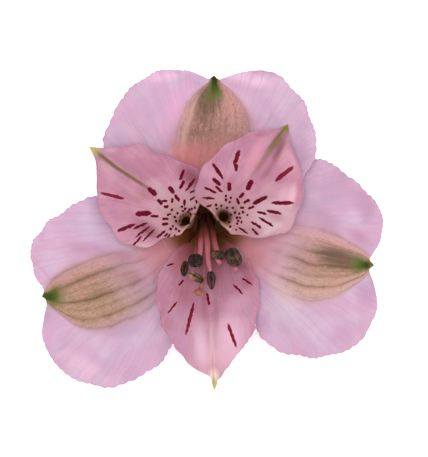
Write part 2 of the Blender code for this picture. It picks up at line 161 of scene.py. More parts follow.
def startMaterial(name, look):
    material = bpy.data.materials.new(name)
    material.use_nodes = True
    bench.update(tree=material.node_tree, look=look)
    shader = material.node_tree.nodes["Principled BSDF"]
    shader.inputs["Roughness"].default_value = look["roughness"]
    shader.inputs["Specular IOR Level"].default_value = look["specular"]
    shader.inputs["Subsurface Weight"].default_value = look["subsurface"]
    shader.inputs["Subsurface Radius"].default_value = (1.0, 0.5, 0.6)
    shader.inputs["Subsurface Scale"].default_value = 1.2 * mm
    return material, shader


def finishMaterial(made, colour, height, distance):
    material, shader = made
    bump = put("ShaderNodeBump", {"Height": height, "Distance": distance * mm, "Strength": 1.0}, "Normal")
    feed(shader.inputs["Base Color"], colour)
    feed(shader.inputs["Normal"], bump)
    return material


# Curves and surfaces
def knotsThrough(points):
    steps = np.linalg.norm(np.diff(np.asarray(points, dtype=float), axis=0), axis=1)
    knots = np.concatenate([[0.0], np.cumsum(steps)])
    return knots / knots[-1]


def smooth(values, knots, where):
    values = np.asarray(values, dtype=float)
    steps = np.diff(knots)
    chords = np.diff(values, axis=0) / steps[:, None]
    slopes = np.zeros_like(values)
    slopes[0], slopes[-1] = chords[0], chords[-1]
    before, after = steps[:-1, None], steps[1:, None]
    slopes[1:-1] = (chords[:-1] * after + chords[1:] * before) / (before + after)
    index = np.clip(np.searchsorted(knots, where, side="right") - 1, 0, len(steps) - 1)
    step = steps[index][:, None]
    part = ((where - knots[index]) / steps[index])[:, None]
    rise = part * part * (3.0 - 2.0 * part)
    return (values[index] * (1.0 - rise) + values[index + 1] * rise
            + slopes[index] * step * part * (1.0 - part) ** 2
            + slopes[index + 1] * step * part * part * (part - 1.0))


def smoothPath(corners, count):
    corners = [tuple(corner) for corner in corners]
    return smooth(corners, knotsThrough(corners), np.linspace(0.0, 1.0, count))


def through(pairs, where):
    # A smooth value read from a few (place, value) pairs
    places = np.array([pair[0] for pair in pairs], dtype=float)
    values = np.array([[pair[1]] for pair in pairs], dtype=float)
    flat = np.clip(np.ravel(where), places[0], places[-1])
    return smooth(values, places, flat)[:, 0].reshape(np.shape(where))


def softStep(value, start, end):
    part = np.clip((value - start) / (end - start), 0.0, 1.0)
    return part * part * (3.0 - 2.0 * part)


def addObject(name, data):
    made = bpy.data.objects.new(name, data)
    bpy.context.collection.objects.link(made)
    return made


def addPiece(node, points, faces, material, fields):
    # points are in the flower's frame in mm; fields are vectors stored on the points for the material
    placed = [flowerPlace @ (Vector(point) * mm) for point in points]
    for point in placed:
        point.z = max(point.z, 0.0)     # nothing reaches below the surface it lies on
    mesh = bpy.data.meshes.new(node + "_look")
    mesh.from_pydata(placed, [], faces)
    for name, values in fields.items():
        field = mesh.attributes.new(name, "FLOAT_VECTOR", "POINT")
        field.data.foreach_set("vector", np.asarray(values, dtype=np.float32).ravel())
    mesh.materials.append(material)
    mesh.shade_smooth()
    mesh.update()
    piece = addObject(node + "_look", mesh)
    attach(piece, "root")
    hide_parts(node)


# Tepals. Each is lofted through stations from its claw to its tip: the midrib, the left and the
# right margin as (along, across, depth) in mm in the tepal's own direction, and the curl in degrees.
# clawShift    mm, how far to its left the claw is rooted
# waves        how many its margins have, their phase and their height in mm
# teeth        how many its margins have and their reach in mm
# bumps        mm, the reach of the broad bumps that the teeth stand on
# fold         the midrib's depth and half width in mm
# pucker       mm, the unevenness of the blade
# the streaks: x, y, x, y in mm from the flower's axis as seen from the front, the width in mm, the
#              strength and the colour; some are the tepal's own clouds of colour, some painted light
#              over shadows that other parts cast, some painted shade along folds
base = -28.7                # mm, how deep the tepals, filaments and style are rooted
sheet = {
    "rows": 240,
    "columns": 84,
    "thick": 0.40,          # mm in the middle
    "thin": 0.16,           # mm at the margin
    "thinFrom": 1.5,        # mm from the margin, where it is at full thickness
    "waveLag": 0.07,        # of the length, how far the two margins' waves are apart
    "waveFull": 6.0,        # mm, half width at which waves and teeth are full
    "wavePower": 3,         # the larger, the nearer to the margin they stay
    "bumpPower": 8,
    "toothPower": 24,
    "foldAlong": (8.0, 13.0),   # mm along, where the fold begins and is full
    "foldEnd": 0.93,        # of the length, where the fold fades
    "puckerAbove": -9.0,    # mm, depth below which the blade is smooth
    "clawThick": (6.0, 10.0),   # mm along, where the claw's full thickness fades
    "tipFrom": 0.97,        # of the length, where the tip thins
    "tipThinner": 0.6,
}
outerShared = {
    # radius, depth, half width and curl of the narrow claw
    "claw": [(3.4, base, 2.9, 56), (4.4, -22, 3.75, 54), (6.2, -15.5, 5.1, 43)],
    "teeth": (48, 0.24),
    "bumps": 0.12,
    "fold": (0.25, 1.2),
    "pucker": 0.16,
}
innerShared = {
    "claw": [],
    "clawShift": 0,
    "teeth": (16, 0.12),
    "bumps": 0.22,
    "fold": (0.45, 0.9),
    "pucker": 0.10,
    # the depths where the throat begins to darken, is deep and is dark, the claws' own colour with
    #     painted shade, and how light its rim is
    "throat": (-5, -6.5, -10),
    "rim": 0.8,
}

outerTop = {
    **outerShared,
    "node": "outer_tepal_top",
    "direction": 86.8,
    "clawShift": 0.36,
    "waves": (7, 0.4, 0.50),
    "teeth": (46, 0.24),
    "blade": [
        ((8, 0, -10.6), (7.2, 6, -10), (7.2, -6, -9.8), 24),
        ((10.6, 0, -7), (7.8, 11, -5.6), (7.9, -10.8, -4.8), 12),
        ((13.8, 0, -4.3), (8.7, 17.8, -3.2), (9, -17.4, -1.8), 4),
        ((17.5, 0, -3), (13.4, 20.3, -2.4), (13.6, -20.1, -0.9), 2),
        ((21, 0, -2.2), (19.8, 18.9, -1.8), (20, -19.2, -0.8), 2),
        ((23.7, 0, -1.8), (25.5, 15, -1.4), (26.1, -15.5, -1), 2),
        ((25.4, 0, -1.8), (28.5, 9.6, -1.6), (29.4, -10, -1.5), 2),
        ((26, 0, -1.9), (28.7, 5.6, -2), (29.1, -5.8, -2), 2),
        ((26.6, 0, -2.1), (27.75, 2.1, -2.15), (27.75, -2.1, -2.15), 2),
        ((27, 0, -2.2), (27.35, 1.05, -2.25), (27.35, -0.9, -2.25), 2),
    ],
    "tip": (28.1, 0, -2.5),
    # the striped middle: half width, and how far its line lies to the left, along the tepal
    "zoneHalf": [
        (0, 3), (6, 5), (10, 6.5), (13, 7.25), (15, 7.3), (17.7, 7.05), (20, 6.5), (22.6, 5.2), (25, 3.35),
        (27, 1), (28.2, 0.3),
    ],
    "zoneShift": [
        (0, 0), (10, 0), (13, -0.25), (17.7, -0.55), (20, -0.7), (22.6, -0.6), (27, -0.2), (28.2, 0),
    ],
    "zoneFrom": (5, 9),     # mm along, where it begins and where it is full
    "bands": [
        (-1, 218, 152, 150), (-0.5, 216, 154, 148), (-0.1, 186, 132, 118), (0.35, 154, 106, 90),
        (0.56, 158, 106, 90), (0.74, 226, 176, 166), (1, 222, 160, 150),
    ],
    # main veins: place across the middle, half width and strength
    "veins": [
        (-0.97, 0.05, 0.35), (-0.60, 0.04, 0.2), (-0.32, 0.04, 0.25), (-0.12, 0.05, 0.4), (0.10, 0.05, 0.5),
        (0.30, 0.05, 0.4), (0.64, 0.06, 0.6), (0.88, 0.05, 0.4), (0.98, 0.04, 0.3),
    ],
    # the pinker low end, in mm along, and its colour; the dark patch: its middle, half length and
    # half width in mm and its strength; the green tip's length in mm and how fast it widens
    "low": (17, 10, 250, 142, 138, 0.58),
    "darkPatch": (23.2, 1, 3.6, 2.4, 0.8),
    "tipLong": 6.4,
    "tipWide": 0.30,
    "point": tint(40, 50, 0),
    "streaksAndPaintedLight": [
        (-3.4, 26.4, -9, 15, 4.6, 0.9, 252, 182, 220), (3.8, 25.6, 11, 16, 4.4, 0.8, 250, 184, 216),
        # painted light: the streak below and the one on the next line lift the shade where the margins near
        # the tip curl
        (3.6, 28.4, 13.4, 26.4, 3, 0.8, 255, 210, 236, 0.56),
        (-3.6, 28.8, -11.6, 27.2, 2.8, 0.7, 255, 208, 236, 0.56),
        # painted light: both streaks below lift the shadow that the left inner tepal casts
        (-15.8, 18.4, -11.4, 14.4, 3, 0.6, 246, 204, 228), (-17.5, 19, -15, 14, 4, 0.5, 226, 190, 218),
        (17, 17, 19.5, 9, 4, 0.5, 212, 164, 196), (12, 25, 16, 20, 3, 0.5, 236, 210, 230),
        # painted light: the streak below lifts the shadow along the right inner tepal's margin
        (14.4, 21, 17.4, 14, 3, 0.7, 248, 204, 228),
    ],
}
outerLeft = {
    **outerShared,
    "node": "outer_tepal_left",
    "direction": 204.4,
    "clawShift": 0.49,
    "waves": (8, 1.9, 0.50),
    "blade": [
        ((8.2, 0, -10.6), (7.6, 6.2, -10.2), (7.4, -4.8, -10.2), 24),
        ((11, 0, -7), (9.6, 10.4, -6.6), (9.4, -7.4, -6.6), 12),
        ((14.5, 0, -4.3), (12.2, 15, -4), (12.2, -10.4, -3.6), 4),
        ((19, 0, -3), (16.9, 19.8, -3), (16.7, -13.2, -2.4), 2),
        ((23.5, 0, -2.4), (22.9, 21.7, -2.2), (21.5, -13.5, -1.8), 2),
        ((27.5, 0, -2.2), (28.6, 21.4, -1.9), (26.8, -12.6, -1.6), 2),
        ((30.1, 0, -2.4), (33.8, 18.5, -1.9), (30.9, -10.8, -1.8), 2),
        ((31.3, 0, -2.6), (37.2, 13.3, -2.2), (33, -8.4, -2.2), 2),
        ((31.7, 0, -2.8), (37.7, 8, -2.6), (33.8, -5.6, -2.6), 2),
        ((32, 0, -2.95), (35.7, 3.7, -3), (34, -2.8, -3), 2),
        ((32.6, 0, -3.1), (34.3, 1.6, -3.15), (33.7, -1.5, -3.15), 2),
        ((33.1, 0, -3.2), (34.15, 0.8, -3.3), (33.8, -0.7, -3.3), 2),
    ],
    "tip": (34.6, 0, -3.5),
    "zoneHalf": [
        (0, 2), (8, 2.8), (10, 3.6), (14, 5), (18, 6.3), (21.8, 6.5), (24.6, 6.65), (27.3, 6.4),
        (29.5, 5.6), (31.2, 4.6), (32.7, 2.9), (34.8, 0.3),
    ],
    "zoneShift": [
        (0, 0), (8, 2.2), (10, 3), (14, 4.4), (18, 4.5), (21.8, 4.2), (24.6, 4.05), (27.3, 3.7),
        (29.5, 3.2), (31.2, 2.5), (32.7, 1.6), (34.8, 0),
    ],
    "zoneFrom": (8, 25),
    "bands": [
        (-1, 220, 160, 156), (-0.5, 194, 146, 120), (0.1, 190, 150, 112), (0.6, 196, 152, 118),
        (1, 202, 158, 136),
    ],
    "veins": [
        (-0.98, 0.06, 0.5), (-0.57, 0.055, 0.8), (-0.28, 0.035, 0.35), (-0.10, 0.03, 0.2),
        (0.07, 0.05, 0.95), (0.36, 0.04, 0.4), (0.67, 0.05, 0.8), (0.98, 0.05, 0.45),
    ],
    "low": (25, 13, 184, 128, 136),
    "darkPatch": (24.5, 4.2, 3, 1.2, 0.3),
    "tipLong": 5.4,
    "tipWide": 0.50,
    "point": tint(62, 78, 16),
    "streaksAndPaintedLight": [
        (-20.1, -21.3, -11.4, -19.4, 4, 0.6, 192, 162, 188),
        (-16, -24.5, -9.6, -19.9, 3.5, 0.6, 224, 206, 226),
        (-28.4, -24.5, -17.8, -30.9, 4, 0.85, 250, 206, 230),
        (-26.1, -1.5, -16, 0.9, 5, 0.6, 222, 198, 222), (-27, -4.6, -18, -5.6, 3.4, 0.7, 196, 136, 168),
        (-18.6, -6.2, -14, -6.8, 2.6, 0.7, 190, 118, 148),
        # painted light: the second streak below lifts the shadow that the lower inner tepal casts
        (-20.2, -1, -16.4, -3.8, 2.6, 0.5, 240, 186, 206), (-10.6, -19, -7.6, -22.6, 3, 0.7, 242, 208, 228),
        (-31, -10, -29, -13, 2.6, 0.6, 234, 182, 204), (-17.5, -9.2, -11.5, -11.6, 3.8, 0.6, 180, 122, 134),
    ],
}
outerRight = {
    **outerShared,
    "node": "outer_tepal_right",
    "direction": -14.4,
    "clawShift": -0.72,
    "waves": (8, 3, 0.50),
    "blade": [
        ((8.2, 0, -10.6), (7.6, 5.2, -10.4), (7.4, -6, -10.2), 24),
        ((11, 0, -7), (10.2, 8, -7.4), (9.6, -9.8, -6.6), 12),
        ((14.2, 0, -4.4), (13, 11.2, -5.4), (12.2, -13.6, -4.2), 4),
        ((18.5, 0, -3.2), (17.7, 17, -4.4), (16.1, -19.1, -3.2), 2),
        ((22.5, 0, -2.6), (22.4, 16.3, -3.6), (21.8, -20.6, -2.6), 2),
        ((26.5, 0, -2.3), (27, 13.9, -2.8), (27.5, -19.6, -2.2), 2),
        ((29.2, 0, -2.3), (31, 11.4, -2.4), (32.5, -16.8, -2.2), 2),
        ((30.4, 0, -2.4), (33, 7.5, -2.4), (35.2, -12.2, -2.4), 2),
        ((31, 0, -2.6), (33, 4.2, -2.7), (35.7, -7.6, -2.8), 2),
        ((31.5, 0, -2.8), (32.4, 1.9, -3), (34, -3.5, -3.1), 2),
        ((31.9, 0, -3), (32.2, 0.8, -3.1), (32.6, -1.1, -3.2), 2),
    ],
    "tip": (33.3, 0, -3.4),
    "zoneHalf": [
        (0, 2.5), (8, 4), (14, 6), (18.5, 7), (20.9, 7.15), (23.3, 6.85), (26, 6.1), (28, 5.2), (29.8, 4),
        (31.6, 2.55), (33.3, 0.3),
    ],
    "zoneShift": [
        (0, 0), (8, -1.2), (14, -2.45), (18.5, -2.8), (20.9, -2.95), (23.3, -2.75), (26, -2.4), (28, -2),
        (29.8, -1.4), (31.6, -0.75), (33.3, 0),
    ],
    "zoneFrom": (8, 24),
    "bands": [
        (-1, 230, 184, 170), (-0.5, 226, 178, 158), (0, 180, 138, 112), (0.45, 200, 152, 134),
        (0.8, 228, 170, 168), (1, 228, 168, 176),
    ],
    "veins": [
        (-0.98, 0.05, 0.35), (-0.60, 0.05, 0.7), (-0.28, 0.05, 0.4), (-0.12, 0.03, 0.2), (0.05, 0.055, 0.9),
        (0.36, 0.04, 0.35), (0.66, 0.04, 0.35), (0.97, 0.05, 0.3),
    ],
    "low": (23, 12, 224, 158, 152),
    "darkPatch": (26.4, -0.3, 5, 2, 1),
    "tipLong": 6,
    "tipWide": 0.34,
    "point": tint(98, 110, 30),
    "streaksAndPaintedLight": [
        (11.2, -13.4, 19.9, -19.9, 6, 0.8, 228, 210, 222), (12.5, -10, 16.5, -15, 3.8, 0.85, 254, 224, 228),
        (10.4, -4.6, 8.6, -9.6, 3, 0.5, 160, 104, 118), (29.1, -10.7, 31.9, -16.2, 4, 0.6, 196, 154, 188),
        (8, -6.6, 11, -8.4, 3.6, 0.5, 166, 108, 118), (24.5, 10.1, 32.3, 1.3, 4, 0.5, 214, 160, 192),
        (28.6, 7.4, 32.4, -1, 4.4, 0.45, 200, 146, 180), (27, -1, 31.6, -5, 3.2, 0.7, 206, 136, 170),
        (13, -16.6, 16.6, -23.4, 2.8, 0.4, 196, 164, 188), (19, 3.4, 26, -2.4, 4.6, 0.7, 204, 152, 182),
        (22, -22, 28, -20, 4, 0.5, 214, 170, 202),
    ],
}
innerLeft = {
    **innerShared,
    "node": "inner_tepal_left",
    "direction": 147.2,
    "waves": (6, 0.8, 0.15),
    "blade": [
        ((2.6, 0.2, base), (2.6, 1.2, base), (2.6, -0.8, base), 50),
        ((3.2, 0.8, -22), (3.2, 1.9, -22), (3.2, -0.3, -22), 80),
        ((4.1, 1.5, -14), (4.1, 2.8, -14), (4.1, 0.2, -14), 125),
        ((4.6, 1.8, -8), (4.6, 3.1, -8), (4.6, 0.5, -8), 150),
        ((4.3, 1.95, -4.6), (4.3, 3.1, -4.6), (4.3, 0.8, -4.6), 176),
        ((4.45, 1.95, -3), (4.45, 3.2, -3), (4.45, 0.7, -3), 176),
        ((6.3, 1.7, -1.7), (3.9, 4.4, -2.1), (4.1, -1.2, -2.2), 84),
        ((7.9, 1.4, -0.8), (5.2, 6.6, -1.2), (3.9, -3.9, -1.5), 40),
        ((10, 0.8, -0.2), (6.9, 9.8, -0.4), (5.3, -7, -0.6), 15),
        ((13.5, 0.3, 0.5), (10.9, 11.7, 0.5), (9.7, -7.2, 0.5), 6),
        ((17, 0, 1), (15.5, 10.3, 0.9), (14.2, -6.3, 1.1), 3),
        ((20.3, 0, 1.2), (19.3, 8, 1), (18.4, -5.6, 1.2), 2),
        ((22.9, 0, 1), (21.9, 4.2, 0.9), (21.8, -3.1, 1), 2),
        ((24.5, 0, 0.7), (23.9, 1.6, 0.6), (24.2, -1.2, 0.6), 2),
    ],
    "tip": (26.4, 0, 0.4),
    # dashes are x, y, x, y and the width, dots x, y, in mm from the flower's axis
    "dashes": [
        (-11, 6.5, -9.5, 5.1, 0.95), (-19.8, 5.5, -15.6, 4.4, 0.57), (-13.3, 1.5, -10.4, 1.7, 0.95),
        (-10.4, 1.1, -9.1, 1.1, 0.57), (-16.7, -1.7, -13.5, -0.4, 0.67), (-13.7, -1.3, -11.2, -0.2, 0.47),
        (-13.3, -2.9, -10.8, -0.9, 0.38), (-12, -3.6, -9.7, -1.3, 0.38), (-13.9, -4.6, -12.2, -2.7, 0.38),
        (-9.3, -3, -7.8, -1.7, 0.47), (-7.8, -2.7, -7.4, -2.1, 0.38), (-7.4, -3, -6.8, -2.3, 0.38),
        (-9.1, 4.2, -8.4, 3.4, 0.67), (-8.3, 4, -7.5, 4, 0.47), (-8, 2.9, -7.2, 2.9, 0.57),
        (-7, 6.7, -6.1, 5.5, 0.76), (-6.45, 4.4, -6.45, 3.8, 0.52), (-5.9, 5.1, -5.1, 4, 0.57),
        (-4.9, 8, -4.2, 9.9, 0.57), (-4.9, 6.3, -4.2, 7.8, 0.57), (-3.8, 5.9, -2.1, 8.2, 0.47),
        (-3, 5.5, -2.1, 6.1, 0.38), (-3, 4.2, -2.1, 4.8, 0.38), (-1.8, 4.2, -1.8, 3.5, 0.38),
        (-4.1, 4.2, -4.1, 3.2, 0.47), (-7.4, 1.35, -6.8, 1.5, 0.45), (-8.2, 0.6, -7.2, 0.6, 0.5),
        (-8.3, -0.4, -7.3, -0.3, 0.5), (-5, 1, -4.95, 0.9, 0.24), (-5.1, 0.3, -5.1, 0.2, 0.24),
        (-4.8, -0.5, -4.7, -0.5, 0.24), (-4.5, 1.4, -4.4, 1.4, 0.24),
    ],
    "dots": [
        (-6.5, 2.3), (-5.5, 1.7), (-4.6, 2.9), (-4, 2.5), (-4.4, 2.1), (-3.2, 2.3), (-2.7, 2.5),
        (-2.1, 2.7), (-3.4, 1.9), (-2.9, 1.5), (-2.1, 1.5), (-5.9, 0.9), (-5.7, 0.2), (-6.3, -0.8),
        (-6.7, -1.3), (-5.7, -1.3), (-5.1, -1.7), (-5.9, -2.7),
    ],
    # the middle of its eye; the midrib's length, half width and bow; the light patch's middle, half
    # length, half width and strength
    "eye": (-3.6, 0.2),
    "midrib": (12.5, 0.55, 0.55),
    "lightPatch": (-5.5, 3.5, 5.5, 4, 0.35),
    "streaksAndPaintedLight": [
        (-5.2, 11.2, -0.6, 6, 3.6, 0.85, 150, 80, 96), (-14.6, 4.4, -9.4, 5, 3, 0.5, 178, 112, 124),
        (-17.2, 0.4, -13.6, 2.6, 3, 0.4, 182, 118, 142), (-18.2, 3.6, -16.2, -1.6, 2.6, 0.5, 196, 140, 172),
        (-11.9, 14, -5, 12.7, 2.6, 0.6, 170, 122, 148), (-10.8, 7.9, -7.1, 4.4, 2.6, 0.6, 212, 178, 184),
        (-20.6, 11.7, -17.2, 9.2, 2, 0.45, 220, 190, 182),
        (-18.6, 9.2, -10.8, 3.4, 1.3, 0.5, 214, 166, 178),
        (-18.3, 13.2, -10.8, 7.6, 1.8, 0.5, 184, 128, 148), (-13, 0, -8.4, -3.2, 2.8, 0.85, 146, 80, 92),
        (-13.9, -4.2, -8.6, -4.9, 1.2, 0.7, 224, 190, 194), (-8.6, -4.6, -6.3, -3.3, 1, 0.5, 220, 160, 162),
        (-19.6, 13.5, -16.6, 13.9, 1.3, 0.5, 230, 186, 200),
    ],
    "tipLong": 3.2,
    "tipColour": tint(206, 188, 116),
}
innerRight = {
    **innerShared,
    "node": "inner_tepal_right",
    "direction": 49.9,
    "waves": (6, 2.4, 0.15),
    "blade": [
        ((2.5, -0.7, base), (2.5, 0.3, base), (2.5, -1.7, base), 50),
        ((3.2, -1.1, -22), (3.2, 0, -22), (3.2, -2.2, -22), 80),
        ((3.8, -1.6, -14), (3.8, -0.3, -14), (3.8, -2.9, -14), 125),
        ((4.1, -1.9, -8), (4.1, -0.6, -8), (4.1, -3.2, -8), 150),
        ((4.05, -1.9, -4.6), (4.05, -0.75, -4.6), (4.05, -3.05, -4.6), 176),
        ((4.3, -1.9, -2.7), (4.2, -0.6, -2.6), (4.2, -3.2, -2.7), 176),
        ((5.6, -1.8, -1.4), (3.9, 1, -0.2), (2.7, -4.7, -1.9), 84),
        ((7.2, -1.3, -0.2), (3.5, 4.7, 1), (3.1, -6.9, -0.8), 40),
        ((9.3, -0.8, 0.6), (5.4, 6.5, 1.7), (4.8, -9.9, 0.2), 15),
        ((12.5, -0.3, 1.4), (9.2, 7, 2.2), (8.1, -12.6, 1.2), 6),
        ((16, 0, 1.9), (14, 6.3, 2.3), (13.4, -11.9, 1.7), 3),
        ((19, 0, 2.1), (17.6, 4.9, 2.2), (17.2, -9.6, 1.9), 2),
        ((21.1, 0, 1.9), (20.4, 2.9, 2), (20.2, -5.3, 1.8), 2),
        ((22.4, 0, 1.6), (22, 1.2, 1.6), (22.2, -1.9, 1.5), 2),
    ],
    "tip": (24.2, 0, 1.3),
    "dashes": [
        (1.3, 11, 3.2, 8.2, 0.57), (1.3, 8.2, 2.7, 7, 0.76), (1.9, 6.7, 3, 5.7, 0.47),
        (-0.2, 6.5, 1.9, 5.5, 0.47), (-0.6, 4.6, 1.5, 4.4, 0.38), (0.2, 2.9, 1.1, 3.2, 0.38),
        (4.4, 7.4, 4.4, 5.9, 0.76), (6.3, 13.5, 5.3, 10.8, 0.76), (5.7, 10.8, 5.7, 9.7, 0.67),
        (7.8, 6.1, 8.7, 7.8, 0.95), (13.1, 7.8, 16.5, 10.4, 0.76), (8.9, 3.4, 11.6, 4.8, 0.76),
        (12.5, 3.6, 16.5, 3.6, 0.67), (11.6, 2.1, 14.1, 1.6, 0.57), (9.7, 1.9, 11.4, 1.5, 0.47),
        (10.1, 0.8, 12.7, -0.8, 0.47), (8.6, 0, 10.4, -1.1, 0.47), (8.7, -1.3, 9.9, -2.4, 0.38),
        (6.3, -1.1, 7.8, -2.1, 0.38), (6.3, 4.6, 7.2, 5.5, 0.57), (7.2, 3.6, 8.2, 4.2, 0.57),
        (8, 2.5, 9.1, 2.9, 0.47), (5.9, 4.4, 6.3, 3.4, 0.47), (6.5, 2.7, 7.2, 2.7, 0.38),
    ],
    "dots": [
        (3.8, 4.9), (3.8, 4.2), (4.7, 4.6), (4.5, 3.8), (1.9, 3.2), (2.9, 3.1), (2.1, 2.5), (4, 2.7),
        (5.1, 2.7), (5.5, 1.8), (4.8, 1.4), (6.3, 1.6), (7, 1.9), (7.8, 1.3), (5.9, 0.8), (6.5, 0.8),
        (6.1, 0.2), (6.7, 0), (5.9, -0.3), (4.4, -0.1), (4.6, -0.9), (5.7, -1.5),
    ],
    "eye": (3.3, 0.7),
    "midrib": (19, 0.42, 0),
    "lightPatch": (12.5, 1, 6, 4.5, 0.75),
    "streaksAndPaintedLight": [
        (11.3, 16.7, 7.3, 8.2, 3.2, 0.8, 232, 164, 184), (6.4, 15.6, 2, 10.6, 3.2, 0.5, 186, 132, 156),
        # painted shade: the second streak below and both on the next line darken the blade along its folds
        (15.6, 14.4, 13.8, 11, 3, 0.6, 230, 166, 182), (11.9, 13.2, 8.4, 8, 1.3, 0.7, 172, 124, 122),
        (15.2, 16.6, 12.4, 10.6, 1.7, 0.9, 148, 92, 106), (12.6, 10.8, 10.4, 7.9, 1.2, 0.6, 160, 108, 116),
        (15.2, 17.6, 11, 12, 1.7, 0.9, 142, 114, 76), (13.2, 7.6, 10.4, 5.4, 3, 0.5, 226, 184, 190),
        (13.2, 6.4, 17, 4.2, 4.4, 0.7, 240, 190, 206), (14.6, 12, 17.6, 8, 4, 0.5, 228, 158, 176),
        (11, 2.2, 15.4, 0, 2.4, 0.5, 180, 116, 126), (6.8, -1, 10.6, -2.2, 2, 0.5, 172, 116, 120),
        # painted light: the second streak below lifts the shade where the margin curls
        (10.2, -2.8, 14.6, 0.2, 1.5, 0.6, 228, 206, 204), (15.8, 2.6, 16.8, 7.4, 1.6, 0.8, 248, 200, 212),
        (15.4, 13.6, 17, 10.2, 1.3, 0.5, 236, 184, 204), (8.8, 16.2, 12.4, 16.9, 1.3, 0.5, 172, 104, 122),
    ],
    "tipLong": 2.6,
    "tipColour": tint(138, 126, 62),
}
innerLower = {
    **innerShared,
    "node": "inner_tepal_lower",
    "direction": -87.2,
    "waves": (7, 1.2, 0.15),
    "teeth": (30, 0.22),
    "bumps": 0.14,
    "fold": (0.45, 1),
    "blade": [
        ((2.6, 0, base), (2.6, 1, base), (2.6, -1, base), 50),
        ((3.2, 0, -22), (3.2, 1.2, -22), (3.2, -1.2, -22), 60),
        ((4.3, 0, -15), (4.2, 2.7, -15), (4.2, -2.7, -15), 55),
        ((6.3, 0, -9.5), (5.6, 4.2, -9.6), (5.4, -3.9, -9.6), 45),
        ((9, 0, -5.8), (6.8, 6.2, -5.4), (5.9, -5.9, -5.3), 28),
        ((12.2, 0, -3.2), (9.7, 8.2, -2.7), (8.8, -8.7, -2.6), 14),
        ((15.8, 0, -1.2), (13.7, 9.6, -1), (13.5, -10.2, -1), 6),
        ((19.6, 0, 0.3), (18.4, 8.8, 0.3), (18.2, -9.5, 0.3), 3),
        ((23.2, 0, 1.3), (22.4, 7.3, 1.1), (22.6, -7.5, 1.1), 2),
        ((25.6, 0, 1.9), (25.2, 4.9, 1.8), (25.7, -5.5, 1.8), 2),
        ((27, 0, 2.3), (27.1, 3.2, 2.2), (27.5, -3.6, 2.2), 2),
        ((27.9, 0.1, 2.6), (28.3, 2.1, 2.6), (28.5, -1.9, 2.6), 2),
        ((28.5, 0.15, 2.8), (29.3, 1.5, 2.9), (28.9, -1, 2.8), 2),
        ((29.2, 0.2, 3.05), (29.9, 0.75, 3.15), (29.5, -0.45, 3.1), 2),
        ((30.4, 0.2, 3.5), (30.7, 0.5, 3.5), (30.6, -0.3, 3.5), 2),
    ],
    "tip": (31.8, 0, 4),
    "dashes": [
        (-7.2, -17.3, -5.5, -15.2, 0.38), (-3.8, -21.3, -2.3, -15.4, 0.57), (-7.4, -8.3, -6.3, -8, 0.29),
        (-5.1, -12, -4.4, -11.2, 0.38), (0.2, -13.7, 0.6, -15.8, 0.47), (4.2, -19.4, 5.7, -23.6, 0.57),
        (7, -10.8, 8.7, -11.9, 0.38), (5.3, -12, 7, -13.7, 0.38),
    ],
    "dots": [],
    "eye": (0, 60),
    "throat": (-7, -11, -17),
    "rim": 0,
    "midrib": (29.5, 0.3, 0),
    "lightPatch": (0.6, -22, 6, 5, 0.3),
    "streaksAndPaintedLight": [
        (5.2, -16, 4.2, -28, 6.8, 0.8, 252, 204, 228), (0.5, -23, 1.4, -29, 9, 0.6, 252, 202, 216),
        (-3.6, -15, -5.6, -21, 4, 0.65, 196, 150, 176), (-6.6, -6, -3.2, -10, 4.4, 0.7, 216, 120, 128),
        (-4.6, -10.4, -4.4, -17.4, 4, 0.5, 188, 102, 120), (3, -15.4, 8.8, -15.4, 3.4, 0.55, 238, 184, 206),
        (7.6, -9.6, 8.6, -13, 2.4, 0.5, 182, 96, 114), (-1.4, -19, -0.6, -27, 3, 0.6, 255, 212, 234),
        (-4.8, -4, -4.4, -7.6, 3.4, 0.7, 184, 96, 104), (3, -4.6, 6.2, -7.4, 3, 0.7, 184, 98, 110),
        (6.2, -7, 8.4, -9.8, 2.6, 0.7, 172, 94, 108), (0.4, -8, 0.6, -14, 9, 0.4, 216, 128, 148),
        (-5.6, -19, -3.4, -26, 3.8, 0.7, 212, 160, 190), (8.6, -14, 7.4, -20, 2.4, 0.5, 214, 164, 192),
        (-0.5, -12, -0.1, -19, 1.4, 0.5, 172, 108, 130), (1.8, -12, 2, -21, 1.2, 0.4, 176, 112, 134),
        (0.9, -19, 1.4, -28, 1, 0.5, 250, 204, 210), (1.2, -24, 1.4, -30, 0.5, 0.7, 214, 164, 160),
        (1.5, -27.6, 1.5, -30.6, 2.2, 0.8, 255, 226, 206, 0.62),
    ],
    "tipLong": 2.6,
    "tipColour": tint(206, 206, 112),
}

# The finish of the outer tepals: lilac-pink, with a striped green-brown middle and a green tip
outerLook = {
    "pale": tint(232, 200, 224),
    "pink": tint(226, 182, 210),
    "lilac": tint(208, 180, 208),
    "vein": tint(206, 156, 192),
    "rim": tint(232, 180, 212),
    "zoneVein": tint(116, 82, 52),
    "zoneSpeck": tint(222, 184, 158),
    "zoneBlush": tint(224, 156, 146),
    "zoneOlive": tint(168, 136, 98),
    "patchPale": tint(120, 88, 44),
    "patchDark": tint(66, 50, 22),
    # round the throat a salmon pink, the tepal's own colour set lighter than the flower's share: painted
    # light over the shade under the inner tepals. Deeper down, deep and dark are the claws' brown with
    # painted shade, also set lighter than the flower's share
    "throat": tint(252, 170, 174, 0.66),
    "deep": tint(200, 126, 84, 0.72),
    "dark": tint(190, 112, 58, 0.78),
    "green": tint(104, 120, 38),
    "darkGreen": tint(38, 60, 2),
    # the back's colours are set lighter than the flower's share: painted light for the back, which gets less
    # light than the front
    "back": tint(238, 200, 220, 0.74),
    "backVein": tint(214, 152, 188, 0.66),
    "backKeel": tint(150, 160, 92, 0.60),
    "backClaw": tint(134, 152, 80, 0.58),
    "roughness": 0.55,
    "subsurface": 0.12,
    "specular": 0.12,
}

